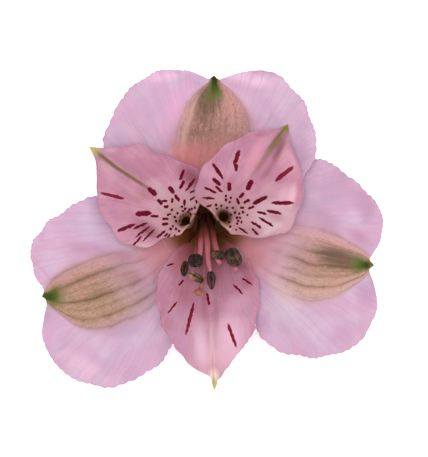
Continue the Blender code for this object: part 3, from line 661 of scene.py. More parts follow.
# The finish of the inner tepals: rose-pink, darkly dashed round the two eyes
innerLook = {
    "pale": tint(219, 161, 182),
    "rose": tint(202, 137, 162),
    "lilac": tint(201, 141, 171),
    "vein": tint(168, 100, 125),
    "mark": tint(102, 0, 30),
    "markOut": tint(140, 26, 58),
    "olive": tint(130, 108, 62),
    "ground": tint(208, 162, 162),
    "halo": tint(150, 114, 78),
    # the eye's core is painted shade deep in its hole; reddish, deep and dark colour the throat by depth, the
    # claws' own colour with painted shade
    "coreShade": tint(140, 76, 44, 0.66),
    "reddish": tint(206, 116, 120),
    "deep": tint(160, 106, 66, 0.66),
    "dark": tint(170, 96, 56, 0.76),
    "light": tint(230, 194, 201),
    # the back's colours are set lighter than the flower's share, painted light for the back, which gets less
    # light than the front; the back's dark brown where it dips into the throat is painted shade
    "back": tint(232, 184, 206, 0.66),
    "backVein": tint(196, 132, 164, 0.60),
    "backKeel": tint(160, 152, 96),
    "backShade": tint(136, 78, 50, 0.62),
    "backClaw": tint(134, 140, 82),
    "rim": tint(220, 170, 158),
    "backRim": tint(190, 134, 122),
    "eyeCore": 0.85,            # mm, radius of the dark of an eye
    "eyeHalo": 1.75,            # mm, radius of the brown round it
    "dot": 0.24,                # mm, radius of a dot
    "markWide": 1.08,           # times the width of the dashes as listed
    "markLonger": 0.12,         # mm, how much longer a dash is at each end
    "markTaper": 0.65,          # how much of a dash's half length narrows
    "roughness": 0.5,
    "subsurface": 0.12,
    "specular": 0.04,
}


def stationsOf(tepal):
    rows = []
    for step, (radius, depth, half, curl) in enumerate(tepal["claw"]):
        shift = tepal["clawShift"] * (1.0 - step / len(tepal["claw"]))
        rows.append((radius, shift, depth, radius, shift + half, depth, radius, shift - half, depth, curl))
    for midrib, left, right, curl in tepal["blade"]:
        rows.append((*midrib, *left, *right, curl))
    rows.append((*tepal["tip"], *tepal["tip"], *tepal["tip"], rows[-1][-1]))
    return np.array(rows)


def tepalGrid(tepal):
    # Points of the sheet's middle, rows by columns, in the tepal's own direction
    stations = stationsOf(tepal)
    knots = knotsThrough(np.concatenate([stations[:, 3:6], stations[:, 6:9]], axis=1))
    place = np.linspace(0.0, 1.0, sheet["rows"] + 1)[:-1]
    side = np.linspace(-1.0, 1.0, sheet["columns"] + 1)
    values = smooth(stations, knots, place)
    midrib = values[:, 0:3]
    tangent = np.gradient(midrib, axis=0)
    tangent /= np.linalg.norm(tangent, axis=1)[:, None]
    across = values[:, 3:6] - values[:, 6:9]
    across -= tangent * np.sum(tangent * across, axis=1)[:, None]
    across /= np.linalg.norm(across, axis=1)[:, None]
    normal = np.cross(tangent, across)
    curl = np.radians(np.maximum(values[:, 9], 1.0))
    widest = np.sin(np.minimum(curl, math.pi / 2))

    sideways = side[None, :, None]
    left, right = values[:, 3:6] - midrib, values[:, 6:9] - midrib
    reach = np.where(sideways > 0.0, left[:, None, :], right[:, None, :])
    wide = np.sum(reach * across[:, None, :], axis=2)
    radius = np.abs(wide) / widest[:, None]
    angle = curl[:, None] * side[None, :]
    points = midrib[:, None, :] + across[:, None, :] * (radius * np.sin(angle))[:, :, None]
    points = points + normal[:, None, :] * (radius * (1.0 - np.cos(angle)))[:, :, None]
    points = points + (reach - across[:, None, :] * wide[:, :, None]) * sideways ** 2

    # long waves of the margins, then fine teeth and broad bumps, then the midrib's fold
    rising, hand, margin = place[:, None], np.sign(side)[None, :], np.abs(side)[None, :]
    grown = np.minimum(np.abs(wide) / sheet["waveFull"], 1.0)
    count, phase, height = tepal["waves"]
    swing = 2.0 * math.pi * count * (rising + sheet["waveLag"] * hand) + phase
    points[:, :, 2] += height * grown * rising * margin ** sheet["wavePower"] * np.sin(swing)
    teeth, size = tepal["teeth"]
    # teeth of uneven width, with deeper notches now and then
    uneven = math.pi * teeth * rising + 2.0 * np.sin(21.0 * rising + 2.0 * hand)
    bite = np.abs(np.sin(uneven)) + 0.6 * np.sin(uneven * 0.37 + 1.0) - 0.8
    amount = size * bite * grown * margin ** sheet["toothPower"]
    amount = amount + tepal["bumps"] * np.sin(swing * 1.7 + 2.0) * grown * margin ** sheet["bumpPower"]
    outward = reach / np.maximum(np.linalg.norm(reach, axis=2), 0.001)[:, :, None]
    points = points + outward * amount[:, :, None]
    depth, width = tepal["fold"]
    fade = softStep(values[:, 0], *sheet["foldAlong"]) * (1.0 - softStep(place, sheet["foldEnd"], 1.0))
    points[:, :, 2] -= depth * fade[:, None] * np.exp(-((points[:, :, 1] - midrib[:, None, 1]) / width) ** 2)
    return points, side, place, values, wide


def turnTo(points, direction):
    turn = math.radians(direction)
    placed = points.copy()
    placed[..., 0] = points[..., 0] * math.cos(turn) - points[..., 1] * math.sin(turn)
    placed[..., 1] = points[..., 0] * math.sin(turn) + points[..., 1] * math.cos(turn)
    return placed


def pucker(tepal, points):
    # Soft unevenness of the blade, in mm, the same on both faces
    lift = np.zeros(points.shape[:2])
    for spot in np.ndindex(lift.shape):
        x, y, z = points[spot]
        if z > sheet["puckerAbove"]:
            coarse = noise.noise(Vector((x * 0.22, y * 0.22, tepal["direction"])))
            fine = noise.noise(Vector((x * 0.7, y * 0.7, tepal["direction"])))
            lift[spot] = coarse * tepal["pucker"] * 2.0 + fine * tepal["pucker"] * 0.5
    return lift


def sheetFaces(rows, columns):
    # A front and a back grid of points, joined round their margins and closed at one last point
    faces = []
    count = rows * columns
    for row in range(rows - 1):
        for column in range(columns - 1):
            a = row * columns + column
            b, c, d = a + 1, a + columns + 1, a + columns
            faces.append((a, b, c, d))
            faces.append((count + a, count + d, count + c, count + b))
        for a, b in ((row * columns, (row + 1) * columns),
                     ((row + 2) * columns - 1, (row + 1) * columns - 1)):
            faces.append((a, b, count + b, count + a))
    last = (rows - 1) * columns
    for column in range(columns - 1):
        a = last + column
        faces.append((a, a + 1, 2 * count))
        faces.append((count + a + 1, count + a, 2 * count))
        faces.append((column + 1, column, count + column, count + column + 1))
    faces.append((last, 2 * count, count + last))
    faces.append((last + columns - 1, count + last + columns - 1, 2 * count))
    return faces


def growTepal(tepal, material):
    points, side, place, values, wide = tepalGrid(tepal)
    points[:, :, 2] += pucker(tepal, points)
    normals = np.cross(np.gradient(points, axis=0), np.gradient(points, axis=1))
    normals /= np.maximum(np.linalg.norm(normals, axis=2), 1e-9)[:, :, None]
    edge = np.minimum((1.0 - np.abs(side))[None, :] * np.abs(wide), 3.0)    # mm from the margin, up to 3
    thick = sheet["thin"] + (sheet["thick"] - sheet["thin"]) * softStep(edge, 0.0, sheet["thinFrom"])
    thick = thick * (1.0 - sheet["tipThinner"] * softStep(place, sheet["tipFrom"], 1.0))[:, None]
    thick = thick + (sheet["thick"] - thick) * (1.0 - softStep(values[:, 0], *sheet["clawThick"]))[:, None]
    front = points + normals * thick[:, :, None] * 0.5
    back = points - normals * thick[:, :, None] * 0.5
    tip = np.array(tepal["tip"])
    own = np.concatenate([front.reshape(-1, 3), back.reshape(-1, 3), tip[None, :]])
    placed = turnTo(own, tepal["direction"])

    tipAway = np.linalg.norm(own[:, :2] - tip[None, :2], axis=1)
    edgeAll = np.concatenate([edge.ravel(), edge.ravel(), [0.0]])
    faceFront = np.concatenate([np.ones(edge.size), np.zeros(edge.size), [0.5]])
    middle = inZone = np.zeros(len(own))
    if "zoneHalf" in tepal:
        middle = through(tepal["zoneShift"], own[:, 0])
        inZone = (own[:, 1] - middle) / through(tepal["zoneHalf"], own[:, 0])
    # the veins fan out from a point in the claw, and its depth counts as length
    fanAngle = np.arctan2(own[:, 1], np.maximum(own[:, 0] - 1.0, 0.2) + np.maximum(0.0, -own[:, 2]) * 0.6)
    addPiece(tepal["node"], placed, sheetFaces(*edge.shape), material, {
        "own": own,
        "seen": placed,
        "zone": np.stack([inZone, middle, edgeAll], axis=1),
        "fan": np.stack([fanAngle, tipAway, faceFront], axis=1),
    })


def strokeFrame(startX, startY, endX, endY):
    # A stroke's middle, half its length and its turn
    middle = ((startX + endX) / 2.0, (startY + endY) / 2.0)
    return middle, math.hypot(endX - startX, endY - startY) / 2.0, math.atan2(endY - startY, endX - startX)


def addStreaksAndPaintedLight(colour, x, y, tepal):
    # Soft streaks of other colours: the tepal's own clouds, painted shade along folds and painted light over
    # shadows that other parts cast
    for startX, startY, endX, endY, width, strength, *shade in tepal["streaksAndPaintedLight"]:
        middle, half, turn = strokeFrame(startX, startY, endX, endY)
        off = reckon("LENGTH", seenFrom(flatPlace(x, y), middle, turn, half, width / 2.0))
        colour = blend(off.fade(1.4, 0.1) * strength, colour, tint(*shade))
    return colour


def paintOuter(tepal):
    look = outerLook
    made = startMaterial(tepal["node"] + "_petal", look)
    own, along, across, depth = stored("own")
    _, x, y, _ = stored("seen")
    _, inZone, middle, edge = stored("zone")
    _, angle, tipAway, front = stored("fan")

    # body colour: soft clouds of pale and pink, pinker at the very rim
    colour = blend(grain(own, 0.16, 3).fade(0.35, 0.65), look["pale"], look["pink"])
    colour = blend(edge.fade(1.2, 0) * 0.5, colour, look["rim"])
    # streaks of the tepal's own colour, some of them painted light over shadows that the inner tepals cast
    colour = addStreaksAndPaintedLight(colour, x, y, tepal)

    # fine veins that fan out from the claw, some of them broad
    turned = angle + grain(own, 0.35) * 0.05
    lines = grain(flatPlace(turned * 64, along * 0.05), 1, 3, 0.65)
    broad = grain(flatPlace(turned * 13, along * 0.04, 7), 1)
    broadLines = broad.fade(0.40, 0.66)
    veins = lines.fade(0.35, 0.70)
    colour = layered(colour, [(broadLines * 0.42, "lilac"), (veins * 0.30, "vein")])

    # the striped middle: its ground in bands, mottling, a dark patch and a pinker low end
    wobble = inZone + (grain(own, 0.3) - 0.5) * 0.16
    brushed = abs(wobble) + (lines - 0.5) * 0.5
    zoneFrom, zoneFull = tepal["zoneFrom"]
    inside = brushed.fade(1.30, 0.74) * along.fade(zoneFrom, zoneFull)
    fine = grain(flatPlace(wobble * 24, along * 0.07), 1, 4, 0.7)
    speck = grain(flatPlace(along * 1.1, across * 2.2), 1, 4, 0.7)
    mottle = grain(own, 2.4, 2, 0.6)
    blotch = grain(own, 0.30, 3, 0.6)
    ribs = fine.fade(0.42, 0.70)
    patchX, patchY, long, wide, amount = tepal["darkPatch"]
    patch = reckon("LENGTH", seenFrom(flatPlace(along, across), (patchX, patchY), 0.0, long, wide))
    patch = patch + (fine - 0.5) * -1.2
    low, lowest, *lowShade = tepal["low"]
    zone = ramp(wobble * 0.45 + 0.5, [(place * 0.45 + 0.5, tint(*shade)) for place, *shade in tepal["bands"]])
    zone = layered(zone, [
        (blotch.fade(0.52, 0.72) * 0.45, "zoneBlush"),
        (blotch.fade(0.48, 0.30) * 0.45, "zoneOlive"),
        (ribs * 0.26, "zoneVein"),
        (speck.fade(0.44, 0.68) * 0.50, "zoneSpeck"),
        (speck.fade(0.46, 0.28) * 0.40, "zoneOlive"),
        (mottle.fade(0.54, 0.70) * 0.40, "zoneSpeck"),
        (mottle.fade(0.46, 0.30) * 0.34, "zoneVein"),
        (patch.fade(1.35, 0.35) * amount * 0.9, blend(ribs, look["patchPale"], look["patchDark"])),
        (along.fade(low, lowest) * (fine.fade(0.64, 0.40) * 0.5 + 0.4), tint(*lowShade)),
    ])
    colour = blend(inside * 0.93, colour, zone)

    # its main veins, each soft with a crisp middle
    drawn = 0.0
    for place, width, strength in tepal["veins"]:
        off = abs(wobble - place)
        line = off.fade(width * 3.6, 0) * 0.42 + off.fade(width * 1.2, 0) * 0.48
        drawn = calc("MAXIMUM", drawn, line * strength)
    drawn = drawn * grain(own, 0.22).fade(0.12, 0.70) * along.fade(zoneFrom - 1, zoneFrom + 12)
    colour = blend(calc("MINIMUM", drawn, 0.9), colour, look["zoneVein"])

    # green tip; round the throat a salmon pink, the tepal's own colour made lighter as painted light over
    # the shade under the inner tepals; deeper, the claws' brown darkening with depth, their own colour
    # with painted shade
    aside = abs(across - middle * 0.5 + (grain(own, 0.9) - 0.5) * 0.8)
    wedge = aside / (tipAway * tepal["tipWide"] + 0.55)
    greening = tipAway.fade(tepal["tipLong"], tepal["tipLong"] * 0.45) * wedge.fade(1.3, 0.5) * 0.9
    darker = tipAway.fade(tepal["tipLong"] * 0.75, 1) * wedge.fade(0.85, 0.25)
    colour = layered(colour, [
        (greening, "green"),
        (darker * 0.9, "darkGreen"),
        (tipAway.fade(1.3, 0.6), tepal["point"]),
        (reckon("LENGTH", flatPlace(along, across)).fade(18, 8) * 0.85, "throat"),
        (depth.fade(-9.5, -14.5), "deep"),
        (depth.fade(-14, -20), "dark"),
    ])

    # the back is paler, with a greenish keel; its colours are set lighter than the flower's share,
    # painted light for the back, which gets less light than the front
    behind = layered(look["back"], [
        (veins * 0.55, "backVein"),
        (broadLines * 0.4, "backVein"),
        (abs(across).fade(3, 0.3) * depth.fade(0, -12) * 0.8, "backKeel"),
        (drawn * 0.45, "backKeel"),
        (greening, "green"),
        (depth.fade(-16, -27), "backClaw"),
    ])
    colour = blend(front.fade(0.45, 0.55), behind, colour)
    return finishMaterial(made, colour, lines * 0.35 + broad * 0.9 + fine * inside * 0.6, 0.18)


def markDistance(place, tepal):
    # Below 1 inside a dash or dot; every mark is a stroke with tapered ends
    dots = [(x, y, x, y, innerLook["dot"] * 2.0) for x, y in tepal["dots"]]
    nearest = None
    for startX, startY, endX, endY, width in tepal["dashes"] + dots:
        middle, half, turn = strokeFrame(startX, startY, endX, endY)
        wide = width * innerLook["markWide"] / 2.0
        half = max(wide, half + innerLook["markLonger"])
        taper = max(wide, half * innerLook["markTaper"])
        moved = reckon("ABSOLUTE", seenFrom(place, middle, turn, taper, wide))
        moved = reckon("SUBTRACT", moved, ((half - taper) / taper, 0.0, 0.0))
        away = reckon("LENGTH", reckon("MAXIMUM", moved, (0.0, 0.0, 0.0)))
        nearest = away if nearest is None else calc("MINIMUM", nearest, away)
    return nearest


def paintInner(tepal):
    look = innerLook
    made = startMaterial(tepal["node"] + "_petal", look)
    own, along, across, depth = stored("own")
    seen, x, y, _ = stored("seen")
    _, _, _, edge = stored("zone")
    _, angle, tipAway, front = stored("fan")

    # body colour with its veins and a light patch
    turned = angle + grain(own, 0.4) * 0.08
    lines = grain(flatPlace(turned * 30, along * 0.06), 1, 3, 0.65)
    veins = lines.fade(0.38, 0.70)
    patchX, patchY, long, wide, amount = tepal["lightPatch"]
    patch = reckon("LENGTH", seenFrom(flatPlace(x, y), (patchX, patchY), 0.0, long, wide))
    colour = layered(look["pale"], [
        (grain(own, 0.2, 3).fade(0.35, 0.65), "rose"),
        (tipAway.fade(12, 3) * 0.45, "lilac"),
        (veins * 0.28, "vein"),
        (patch.fade(1.2, 0.3) * amount, "light"),
    ])
    # streaks of the tepal's own colour; on the right one also painted shade along its folds and painted light
    # where its margin curls into shade
    colour = addStreaksAndPaintedLight(colour, x, y, tepal)

    # olive midrib, a little bowed, and pale green tip; pale ground round the eye, its brown halo
    # and its dark core, painted shade deep in the eye's hole; in the throat, on all three, reddish,
    # brown and dark with depth, the claws' own colour with painted shade
    reach, width, bow = tepal["midrib"]
    line = abs(across - along.fade(26, 19) * bow).fade(width, width * 0.25) * along.fade(reach - 3, reach + 3)
    near = reckon("DISTANCE", flatPlace(x, y), (*tepal["eye"], 0.0))
    ragged = near + (grain(own, 2.5, 3) - 0.5) * 0.7
    coreShade = near.fade(look["eyeCore"] + 0.3, look["eyeCore"] - 0.2) * depth.fade(-1.6, -2.6)
    coreShade = calc("MAXIMUM", depth.fade(-3, -4.6), coreShade) * near.fade(4, 3)
    deepFrom, deepTo, darkTo = tepal["throat"]
    rim = edge.fade(0.24, 0.06) * along.fade(4.2, 3) * depth.fade(-6, -4) * depth.fade(1.2, 0)
    colour = layered(colour, [
        (line * 0.9, "olive"),
        (tipAway.fade(tepal["tipLong"], 0.6), tepal["tipColour"]),
        (near.fade(8, 2.5) * 0.75, "ground"),
        (ragged.fade(look["eyeHalo"] + 0.35, look["eyeHalo"] - 0.45), "halo"),
        (coreShade, "coreShade"),
        (depth.fade(deepFrom + 3, deepFrom), "reddish"),
        (depth.fade(deepFrom, deepTo), "deep"),
        (depth.fade(deepTo, darkTo), "dark"),
        (rim * tepal["rim"] * 0.9, "rim"),
    ])

    # the marks, with slightly uneven outlines
    shake = put("ShaderNodeTexNoise", {"Vector": seen, "Scale": 1.6, "Detail": 3.0}, "Color")
    shake = reckon("MULTIPLY", reckon("SUBTRACT", shake, (0.5, 0.5, 0.5)), (0.5, 0.5, 0.5))
    away = markDistance(reckon("MULTIPLY", reckon("ADD", seen, shake), (1.0, 1.0, 0.0)), tepal)
    marked = away.fade(1.15, 0.85)
    mark = layered(look["mark"], [(along.fade(9, 20), "markOut"), (away.fade(0.5, 1.1) * 0.4, "markOut")])
    colour = blend(marked * depth.fade(-6, -4), colour, mark)

    # the back, set lighter than the flower's share as painted light for the less lit back, with painted shade
    # where it dips into the throat
    behind = layered(look["back"], [
        (veins * 0.5, "backVein"),
        (abs(across).fade(2, 0.3) * depth.fade(3, -12) * 0.6, "backKeel"),
        (marked * 0.25, "markOut"),
        (depth.fade(-3.5, -7), "backShade"),
        (near.fade(8, 5) * edge.fade(0.7, 0.2), "backRim"),
        (depth.fade(-20, -27), "backClaw"),
    ])
    colour = blend(front.fade(0.45, 0.55), behind, colour)
    return finishMaterial(made, colour, lines, 0.10)


for tepal in (outerTop, outerLeft, outerRight):
    growTepal(tepal, paintOuter(tepal))
print("outer tepals done")
for tepal in (innerLeft, innerRight, innerLower):
    growTepal(tepal, paintInner(tepal))
print("inner tepals done")


# Round things: filaments, style, stalk and ovary
def sideFrame(ahead, sideways=(1.0, 0.0, 0.0)):
    # Two directions square to the one ahead, the first as near as it can be to the given one
    sideways = Vector(sideways)
    sideways = (sideways - ahead * sideways.dot(ahead)).normalized()
    return sideways, ahead.cross(sideways)


def tubeFaces(rings, sides, start=0):
    faces = []
    for ring in range(rings):
        for corner in range(sides):
            a, b = start + ring * sides + corner, start + ring * sides + (corner + 1) % sides
            faces.append((a, b, b + sides, a + sides))
    return faces


def sweep(path, radii, sides, shape=None):
    path = [Vector(point) for point in path]
    sideways = (1.0, 0.0, 0.0)
    points = []
    for index, point in enumerate(path):
        ahead = (path[min(index + 1, len(path) - 1)] - path[max(index - 1, 0)]).normalized()
        sideways, up = sideFrame(ahead, sideways)
        for corner in range(sides):
            angle = 2.0 * math.pi * corner / sides
            radius = radii[index] * (shape(index, angle) if shape else 1.0)
            points.append(point + (sideways * math.cos(angle) + up * math.sin(angle)) * radius)
    faces = tubeFaces(len(path) - 1, sides)
    for ring, turn in ((0, -1), (len(path) - 1, 1)):
        points.append(path[ring])
        for corner in range(sides):
            a, b = ring * sides + corner, ring * sides + (corner + 1) % sides
            faces.append((a, b, len(points) - 1)[::turn])
    return points, faces


def runField(path, sides):
    # How far along the path each point lies, 0 to 1, and its depth in mm
    places = knotsThrough(path)
    values = [(place, point[2], 0.0) for place, point in zip(places, path) for _ in range(sides)]
    return values + [(0.0, path[0][2], 0.0), (1.0, path[-1][2], 0.0)]


def paintThread(name, look):
    # Pink at first, another colour from endFrom on, and brown, then dark, where it goes down into the
    # throat: painted shade
    made = startMaterial(name, look)
    _, place, depth, _ = stored("run")
    flecks = grain(put("ShaderNodeTexCoord", {}, "Object"), look["fleckScale"])
    colour = layered(look["pink"], [
        (place.fade(*look["endFrom"]), "end"),
        (flecks.fade(0.4, 0.7) * look["flecked"], "fleck"),
        (depth.fade(2.2, -0.6) * 0.85, filament["brown"]),
        (depth.fade(-0.5, -3.5), filament["dark"]),
    ])
    return finishMaterial(made, colour, flecks, look["fleckHigh"])


stamens = [
    # an anther's middle, where it points, its length, width and thickness, how far apart its lobes
    # lie, how blunt its ends are, how far it narrows, its colour at either end; the side of the
    # ovary on which its filament stands, in degrees, and places that the filament passes
    {"middle": (-4, -8.8, 3.4), "points": (-0.12, -0.95, 0.28), "length": 3.1, "width": 1.5, "thick": 1.4,
     "apart": 0.22, "blunt": 2.4, "taper": 0.15, "colours": (tint(84, 48, 26), tint(56, 30, 22)),
     "stands": 180, "by": [(-1.6, -4, -1.2), (-2.4, -7.2, 2)]},
    {"middle": (-1.95, -7.25, 4.8), "points": (-0.25, 0.30, 0.92), "length": 2.6, "width": 2.65, "thick": 2.4,
     "apart": 0.15, "blunt": 3, "taper": 0, "colours": (tint(44, 42, 54), tint(38, 28, 28)),
     "stands": 120, "by": [(-0.95, -4, 1), (-1.25, -6.6, 2.6)]},
    {"middle": (-1.9, -10.4, 3.4), "points": (0.86, -0.48, 0.20), "length": 3.4, "width": 1.45, "thick": 1.4,
     "apart": 0.22, "blunt": 3, "taper": 0, "colours": (tint(200, 154, 118), tint(96, 68, 46)),
     "stands": 240, "by": [(-0.9, -4.2, -1.2), (-2.4, -8.2, 1.4)]},
    {"middle": (1, -11, 3.6), "points": (0.06, -0.97, 0.22), "length": 3.6, "width": 2, "thick": 1.5,
     "apart": 0.22, "blunt": 4.5, "taper": 0.6, "colours": (tint(80, 44, 42), tint(122, 72, 68)),
     "stands": 300, "by": [(-0.15, -1.3, -3.2), (0.25, -4, 1.2), (0.45, -7.6, 2.6)]},
    {"middle": (2.4, -6.2, 4.4), "points": (0.93, -0.12, 0.35), "length": 3, "width": 1.7, "thick": 1.6,
     "apart": 0.22, "blunt": 3, "taper": 0.1, "colours": (tint(122, 94, 72), tint(64, 42, 40)),
     "stands": 60, "by": [(1.6, -4, 0.8), (2.6, -7.6, 2.2)]},
    {"middle": (5.2, -6.7, 4), "points": (0.38, -0.80, 0.45), "length": 3.9, "width": 2.8, "thick": 2,
     "apart": 0.20, "blunt": 5, "taper": 0.1, "colours": (tint(60, 46, 42), tint(122, 90, 72)),
     "stands": 0, "by": [(0.9, -4, -0.2), (2.6, -6.4, 0.8), (4.4, -7.4, 1.4), (5.5, -9, 2.2)]},
]

filament = {
    "ring": 1.2,            # mm, from the flower's axis to where it stands
    "radii": [(0.0, 0.50), (0.6, 0.76), (1.0, 0.42)],   # mm, along it
    "blunting": (0.85, 0.7, 0.5),                       # of its last rings
    "rings": 70,
    "sides": 16,
    "pink": tint(194, 102, 108),
    "end": tint(206, 128, 146),
    "endFrom": (0.8, 1.0),
    "fleck": tint(160, 74, 80),
    "flecked": 0.25,
    "fleckScale": 900.0,
    "fleckHigh": 0.03,      # mm
    # painted shade, brown and then dark, where filaments and style go down into the throat
    "brown": tint(108, 48, 28),
    "dark": tint(80, 40, 24),
    "roughness": 0.6,
    "subsurface": 0.15,
    "specular": 0.05,
}


def filamentPath(stamen):
    turn = math.radians(stamen["stands"])
    # from the ovary straight up through the throat, then past its places to the anther's back
    root = Vector((math.cos(turn), math.sin(turn), 0.0)) * filament["ring"]
    first = Vector(stamen["by"][0])
    aim = Vector(stamen["points"]).normalized()
    corners = [
        (root.x, root.y, base),
        (root.x * 0.95, root.y * 0.95, -18.0),
        (root.x * 0.7 + first.x * 0.15, root.y * 0.7 - 1.0, -10.0),
        (root.x * 0.3 + first.x * 0.6, root.y * 0.25 + first.y * 0.5, first.z - 3.6),
        *[Vector(place) for place in stamen["by"]],
        Vector(stamen["middle"]) - aim * (stamen["length"] * 0.30),
    ]
    return smoothPath(corners, filament["rings"])


filamentSkin = paintThread("filament_skin", filament)
for number, stamen in enumerate(stamens, start=1):
    path = filamentPath(stamen)
    radii = through(filament["radii"], np.linspace(0.0, 1.0, filament["rings"]))
    radii[-3:] *= filament["blunting"]
    points, faces = sweep(path, radii, filament["sides"])
    run = runField(path, filament["sides"])
    addPiece(f"filament_{number}", points, faces, filamentSkin, {"run": run})
print("filaments done")

anther = {
    "lobeReach": 0.53,      # of the width, from the middle to a lobe's outer side
    "slit": 0.22,           # how deep, of the lobe
    "voxel": 0.11,          # mm
    "pollen": 0.07,         # mm, how rough the open face is
    "dents": 0.06,          # mm
    "dark": tint(16, 6, 4),
    "light": tint(214, 184, 164),
    "rings": 22,
    "sides": 20,
    "roughness": 0.8,
    "subsurface": 0.0,
    "specular": 0.12,
}


def lobePoints(stamen, hand, middle, aim, sideways, face):
    # One lobe; its slit is behind, towards the other lobe
    points = []
    for ring in range(anther["rings"] + 1):
        part = ring / anther["rings"]
        run = math.cos(math.pi * (1.0 - part))
        fullness = max(0.0, 1.0 - abs(run) ** stamen["blunt"]) ** 0.6
        size = 1.0 - stamen["taper"] * part ** 1.4
        spread = stamen["apart"] * size * (1.0 - 0.6 * run * run)
        centre = middle + aim * (run * stamen["length"] / 2.0) + sideways * (hand * stamen["width"] * spread)
        for corner in range(anther["sides"]):
            angle = 2.0 * math.pi * corner / anther["sides"]
            slit = 1.0 - anther["slit"] * math.exp(-((angle - (math.pi * 1.5 - hand * 0.9)) / 0.35) ** 2)
            wide = math.cos(angle) * stamen["width"] * (anther["lobeReach"] - stamen["apart"])
            deep = math.sin(angle) * stamen["thick"] / 2.0
            points.append(centre + (sideways * wide + face * deep) * (fullness * size * slit))
    return points


def growAnther(number, stamen):
    # Two slit lobes fused into one body, roughened with pollen
    middle = Vector(stamen["middle"])
    aim = Vector(stamen["points"]).normalized()
    sideways, face = sideFrame(aim)
    points, faces = [], []
    for hand in (-1.0, 1.0):
        faces += tubeFaces(anther["rings"], anther["sides"], len(points))
        points += lobePoints(stamen, hand, middle, aim, sideways, face)
    rough = bpy.data.meshes.new("lobes")
    rough.from_pydata(points, [], faces)
    holder = addObject("lobes", rough)
    weld = holder.modifiers.new("weld", "WELD")
    weld.merge_threshold = 0.001
    fuse = holder.modifiers.new("fuse", "REMESH")
    fuse.mode = "VOXEL"
    fuse.voxel_size = anther["voxel"]
    soften = holder.modifiers.new("soften", "SMOOTH")
    soften.iterations = 2
    fused = holder.evaluated_get(bpy.context.evaluated_depsgraph_get()).to_mesh()
    made = []
    for vertex in fused.vertices:
        lift = noise.noise(vertex.co * 4.5) * anther["pollen"]
        lift += noise.noise(vertex.co * 1.4) * anther["dents"]
        made.append(vertex.co + vertex.normal * lift)
    outline = [tuple(polygon.vertices) for polygon in fused.polygons]
    bpy.data.objects.remove(holder, do_unlink=True)
    own = [[(point - middle).dot(way) for way in (sideways, face, aim)] for point in made]
    addPiece(f"anther_{number}", made, outline, paintAnther(number, stamen), {"own": own})


def paintAnther(number, stamen):
    made = startMaterial(f"anther_{number}_pollen", anther)
    own, sideways, facing, along = stored("own")
    wander = grain(own, 1.3) * 1.2
    ridges = grain(flatPlace(sideways * 5.5 + wander, facing * 5.5, along * 0.9), 1, 3, 0.6)
    pollen = put("ShaderNodeTexVoronoi", {"Vector": own, "Scale": 8.0}, "Distance")
    body = blend(along.fade(stamen["length"] * -0.4, stamen["length"] * 0.4), *stamen["colours"])
    dark = blend(0.84, body, anther["dark"])
    light = blend(0.42, body, anther["light"])
    colour = layered(dark, [
        (grain(own, 0.9, 3).fade(0.34, 0.62), body),
        (ridges.fade(0.52, 0.68) * 0.42, light),
        (ridges.fade(0.46, 0.34) * 0.8, dark),
        (pollen.fade(0.40, 0.05) * 0.5, light),
        (abs(sideways).fade(0.22, 0.08) * 0.8, dark),
    ])
    return finishMaterial(made, colour, ridges + pollen * -0.3, 0.22)


for number, stamen in enumerate(stamens, start=1):
    growAnther(number, stamen)
print("anthers done")

style = {
    "path": [(0.0, 0.0, base), (0.0, 0.0, -18.0), (0.0, -1.0, -10.0), (-0.2, -2.6, -4.0),
             (-0.4, -4.4, 0.0), (-0.35, -8.0, 1.2), (-0.5, -10.8, 1.8), (-1.2, -13.0, 2.4)],
    "radius": 0.36,
    "rings": 80,
    "sides": 16,
    # the stigma's three branches: their turns in degrees, where they pass ahead and outwards in mm,
    # how much they swell, and how their last rings narrow
    "branchTurns": (100.0, 215.0, 335.0),
    "branchPath": [(-0.4, 0.0), (0.15, 0.25), (0.35, 0.8), (0.1, 0.935)],
    "branchSwell": 0.26,
    "branchBlunting": (0.9, 0.7, 0.35),
    "branchRings": 16,
    "branchSides": 12,
    "pink": tint(190, 102, 106),
    "end": tint(176, 104, 92),
    "endFrom": (0.90, 0.985),
    "fleck": tint(210, 146, 122),
    "flecked": 0.35,
    "fleckScale": 2200.0,
    "fleckHigh": 0.05,
    "roughness": 0.5,
    "subsurface": 0.2,
    "specular": 0.15,
}


def growStyle():
    path = smoothPath(style["path"], style["rings"])
    points, faces = sweep(path, [style["radius"]] * style["rings"], style["sides"])
    run = runField(path, style["sides"])
    end = Vector(path[-1])
    ahead = (end - Vector(path[-4])).normalized()
    right, up = sideFrame(ahead)
    rings = style["branchRings"]
    swell = [math.sin(math.pi * ring / (rings - 1.0)) for ring in range(rings)]
    radii = [style["radius"] + style["branchSwell"] * part for part in swell]
    radii[-3:] = [radii[-3] * narrower for narrower in style["branchBlunting"]]
    for turn in style["branchTurns"]:
        out = right * math.cos(math.radians(turn)) + up * math.sin(math.radians(turn))
        curve = smoothPath([end + ahead * far + out * wide for far, wide in style["branchPath"]], rings)
        more, moreFaces = sweep(curve, radii, style["branchSides"])
        faces += [tuple(corner + len(points) for corner in face) for face in moreFaces]
        points += more
        run += [(1.0, path[-1][2], 0.0)] * len(more)
    addPiece("style", points, faces, paintThread("style_skin", style), {"run": run})


growStyle()
print("style done")

